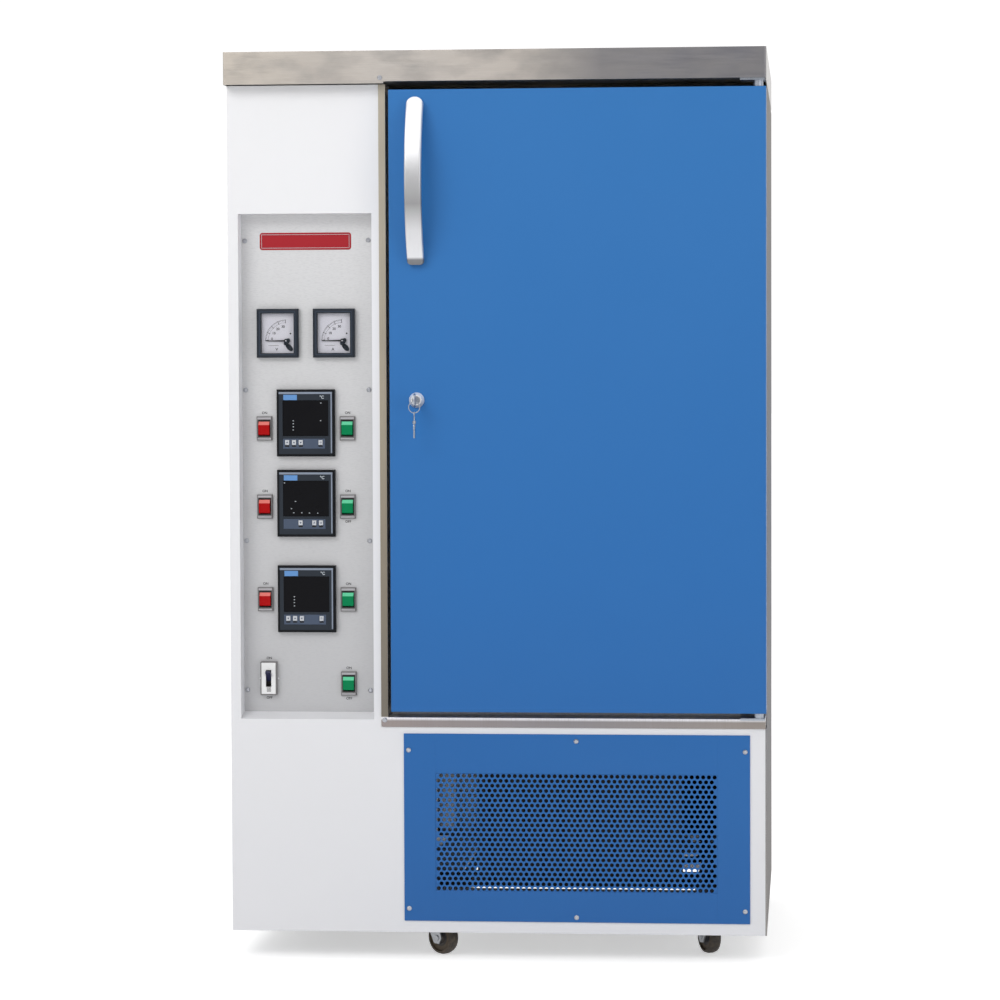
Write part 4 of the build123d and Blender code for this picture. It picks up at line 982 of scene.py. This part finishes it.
def controller_face(number, place, columns, dots):
    """Bezel inlay, display, key strip, painted key shadows and marks of one panel controller."""
    name = f"controller_{number}"
    wide, high = CONTROLLER_SIZE
    right, foot = wide - FACE_MARGIN, high - FACE_TOP
    inlay = (
        ((FACE_MARGIN, DISPLAY_X[0]), (FACE_TOP, foot)),
        ((DISPLAY_X[1], right), (FACE_TOP, foot)),
        (DISPLAY_X, (FACE_TOP, DISPLAY_Z[0])),
        (DISPLAY_X, (DISPLAY_Z[1], KEY_FIELD_Z[0])),
        (DISPLAY_X, (KEY_FIELD_Z[1], foot)),
        ((DISPLAY_X[0], KEY_FIELD_X[0]), KEY_FIELD_Z),
        ((KEY_FIELD_X[1], DISPLAY_X[1]), KEY_FIELD_Z),
    )
    edge = (
        ((FACE_MARGIN, right), (FACE_TOP, EDGE_FOOT)),
        ((wide - 5.6, wide - 3.6), (EDGE_FOOT, high - 5.0)),
    )
    strip = [(KEY_FIELD_X, (KEY_FIELD_Z[0], KEY_ROW_Z[0])), (KEY_FIELD_X, (KEY_ROW_Z[1], KEY_FIELD_Z[1]))]
    strip += [(gap, KEY_ROW_Z) for gap in key_gaps(columns)]
    # Black bars under the keys are painted shadows of the raised keys.
    bars = [((column - 3.0, column + 3.0), KEY_SHADOW_Z) for column in columns]
    display = (
        (DISPLAY_X[0] + DISPLAY_GAP, DISPLAY_X[1] - DISPLAY_GAP),
        (DISPLAY_Z[0] + DISPLAY_GAP, DISPLAY_Z[1] - DISPLAY_GAP),
    )
    marks = [((a - 0.9, a + 0.9), (b - 0.5, b + 0.5)) for a, b in dots]
    face_layer(f"{name}_inlay", place, inlay, (0.3, 0.0), "bezel")
    face_layer(f"{name}_edge", place, edge, PROUD, "bezel_light")
    face_layer(f"{name}_key_strip", place, strip, PROUD, "slate")
    face_layer(f"{name}_key_shadows", place, bars, (0.6, 0.0), "black")
    face_layer(f"{name}_display", place, [display], (-0.5, -1.0), "display")
    face_layer(f"{name}_badge", place, [BADGE], PROUD, "sky")
    face_layer(f"{name}_marks", place, marks, (-0.4, -0.5), "pale")
    x, z = on_plate(place)
    unit_x, unit_z = x - wide / 2 + UNIT_PLACE[0], z + high / 2 - UNIT_PLACE[1]
    lettering(f"{name}_unit", "\u00b0C", unit_x, unit_z, CONTROLLER_FRONT - 0.3, UNIT_HEIGHT, "pale")
    key_symbols(number, place, columns)


def switch_trim(name, place):
    """Black inner frame and light rims round one rocker."""
    x, z = on_plate(place)
    depth = (SWITCH_FRONT - 0.3, SWITCH_FRONT)
    bm = bmesh.new()
    outer = ((x - WELL_OUTER, x + WELL_OUTER), (z - WELL_FOOT, z + WELL_TOP))
    inner = ((x - ROCKER_HALF[0], x + ROCKER_HALF[0]), (z - ROCKER_HALF[1], z + ROCKER_HALF[1]))
    opening(bm, outer, inner, depth)
    piece(f"switch_{name}_well", bm, "black")
    bm = bmesh.new()
    for low, high in SWITCH_RIMS:
        slab(bm, (x - SWITCH_RIM_HALF, x + SWITCH_RIM_HALF), depth, (z + low, z + high))
    piece(f"switch_{name}_rims", bm, "rim")


def breaker_face():
    """White cover of the circuit breaker, its ribs and its two screws."""
    x, z = on_plate(BREAKER_PLACE)
    bm = bmesh.new()
    outer = ((x - COVER_HALF[0], x + COVER_HALF[0]), (z - COVER_HALF[1], z + COVER_HALF[1]))
    inner = ((x - LEVER_WELL[0], x + LEVER_WELL[0]), (z - LEVER_WELL[1], z + LEVER_WELL[1]))
    opening(bm, outer, inner, (BREAKER_FRONT - 0.6, BREAKER_FRONT))
    piece("breaker_cover", bm, "ivory")
    bm = bmesh.new()
    for index in range(RIB_COUNT):
        low = z + RIB_FOOT + index * RIB_PITCH
        slab(bm, (x - 2.6, x + 3.4), (BREAKER_FRONT - 0.75, BREAKER_FRONT - 0.6), (low, low + 0.7))
    piece("breaker_ribs", bm, "frame_grey")
    for side, way in (("left", -1), ("right", 1)):
        bm = bmesh.new()
        oval(bm, x + way * 12.6, z - 0.5, (1.5, 1.5), 0.0, (PLATE_FRONT - 1.4, PLATE_FRONT))
        piece(f"breaker_screw_{side}", bm, "chrome")


def on_label(name, x, z):
    """ON on the control plate, centred on x and z."""
    lettering(f"label_on_{name}", "ON", x, z, PLATE_FRONT, LABEL_HEIGHT, "ink")


def off_label(name, x, z):
    """OFF on the control plate, centred on x and z."""
    lettering(f"label_off_{name}", "OFF", x, z, PLATE_FRONT, LABEL_HEIGHT, "ink")


perforated_panel()
nameplate()
for side, place, letter in zip(("left", "right"), METER_PLACES, ("V", "A")):
    meter_scale(side, place, letter)
    meter_bezel(side, place)
for index, (place, columns, dots) in enumerate(zip(CONTROLLER_PLACES, KEY_COLUMNS, DISPLAY_DOTS)):
    controller_face(index + 1, place, columns, dots)
for name, place, off_below in SWITCHES:
    switch_trim(name, place)
    x, z = on_plate(place)
    on_label(name, x, z + SWITCH_ON_STEP)
    if off_below:
        off_label(name, x, z - SWITCH_OFF_STEP)
breaker_face()
x, z = on_plate(BREAKER_PLACE)
on_label("breaker", x, z + BREAKER_LABEL_STEP)
off_label("breaker", x, z - BREAKER_LABEL_STEP)


# Stage, lights and camera


def seen(tree):
    """1 for camera, mirror and glass rays, and 0 for the rays that only light the object."""
    path = tree.nodes.new("ShaderNodeLightPath")
    value = path.outputs["Is Camera Ray"]
    for output in ("Is Glossy Ray", "Is Transmission Ray"):
        node = tree.nodes.new("ShaderNodeMath")
        node.operation = "MAXIMUM"
        tree.links.new(value, node.inputs[0])
        tree.links.new(path.outputs[output], node.inputs[1])
        value = node.outputs[0]
    return value


def stage():
    """Plain pale floor that keeps the object's shadow."""
    bm = bmesh.new()
    bmesh.ops.create_grid(bm, x_segments=1, y_segments=1, size=FLOOR_HALF)
    mesh = bpy.data.meshes.new("floor")
    bm.to_mesh(mesh)
    bm.free()
    floor = bpy.data.objects.new("floor", mesh)
    bpy.context.scene.collection.objects.link(floor)
    material, tree, surface = shader("floor_paint", grey(0.9), 0.0, 0.8)
    surface.inputs["Emission Color"].default_value = grey(1.0)
    tree.links.new(spread(tree, seen(tree), 0.0, FLOOR_GLOW), surface.inputs["Emission Strength"])
    mesh.materials.append(material)


def area_light(name, place, target, size, energy):
    """White area light at a place in metres, turned to its target."""
    light = bpy.data.lights.new(name, "AREA")
    light.shape = "RECTANGLE"
    light.size, light.size_y = size
    light.energy = energy
    obj = bpy.data.objects.new(name, light)
    obj.location = place
    aim = Vector(target) - Vector(place)
    obj.rotation_euler = aim.to_track_quat("-Z", "Y").to_euler()
    bpy.context.scene.collection.objects.link(obj)


def world():
    """Even light, and a room in greys that shows only in mirrors, through glass and to the camera."""
    scene = bpy.context.scene
    scene.world = bpy.data.worlds.new("studio")
    scene.world.use_nodes = True
    tree = scene.world.node_tree
    background = tree.nodes["Background"]
    background.inputs["Color"].default_value = grey(1.0)
    background.inputs["Strength"].default_value = 1.0
    source = tree.nodes.new("ShaderNodeTexCoord")
    split = tree.nodes.new("ShaderNodeSeparateXYZ")
    tree.links.new(source.outputs["Generated"], split.inputs["Vector"])
    ahead = spread(tree, split.outputs[1], 1.0, 0.0, -0.6, 0.0)
    height = spread(tree, split.outputs[2], 0.0, 1.0, -1.0, 1.0)
    behind = ramp(tree, height, [(place, grey(value)) for place, value in ROOM_BEHIND])
    before = ramp(tree, height, [(place, grey(value)) for place, value in ROOM_BEFORE])
    colour = blend_colours(tree, ahead, behind, before)
    lit = blend_colours(tree, seen(tree), grey(SOFT_LIGHT), colour)
    tree.links.new(lit, background.inputs["Color"])


def camera():
    """The photo's camera: place, turns and focal length fitted to its edges."""
    yaw, pitch, roll = (math.radians(value) for value in CAMERA_TURNS)
    right = Vector((math.cos(yaw), math.sin(yaw), 0.0))
    ahead = Vector((-math.sin(yaw) * math.cos(pitch), math.cos(yaw) * math.cos(pitch), math.sin(pitch)))
    up = right.cross(ahead)
    turned_right = right * math.cos(roll) + up * math.sin(roll)
    turned_up = up * math.cos(roll) - right * math.sin(roll)
    data = bpy.data.cameras.new("camera")
    data.sensor_width = SENSOR_WIDTH
    data.lens = FOCAL_LENGTH
    data.clip_end = 100.0
    obj = bpy.data.objects.new("camera", data)
    axes = Matrix((turned_right, turned_up, -ahead)).transposed().to_4x4()
    obj.matrix_world = Matrix.Translation(CAMERA_PLACE) @ axes
    bpy.context.scene.collection.objects.link(obj)
    bpy.context.scene.camera = obj


stage()
for light in LIGHTS:
    area_light(*light)
world()
camera()
bpy.context.scene.view_settings.view_transform = "Standard"
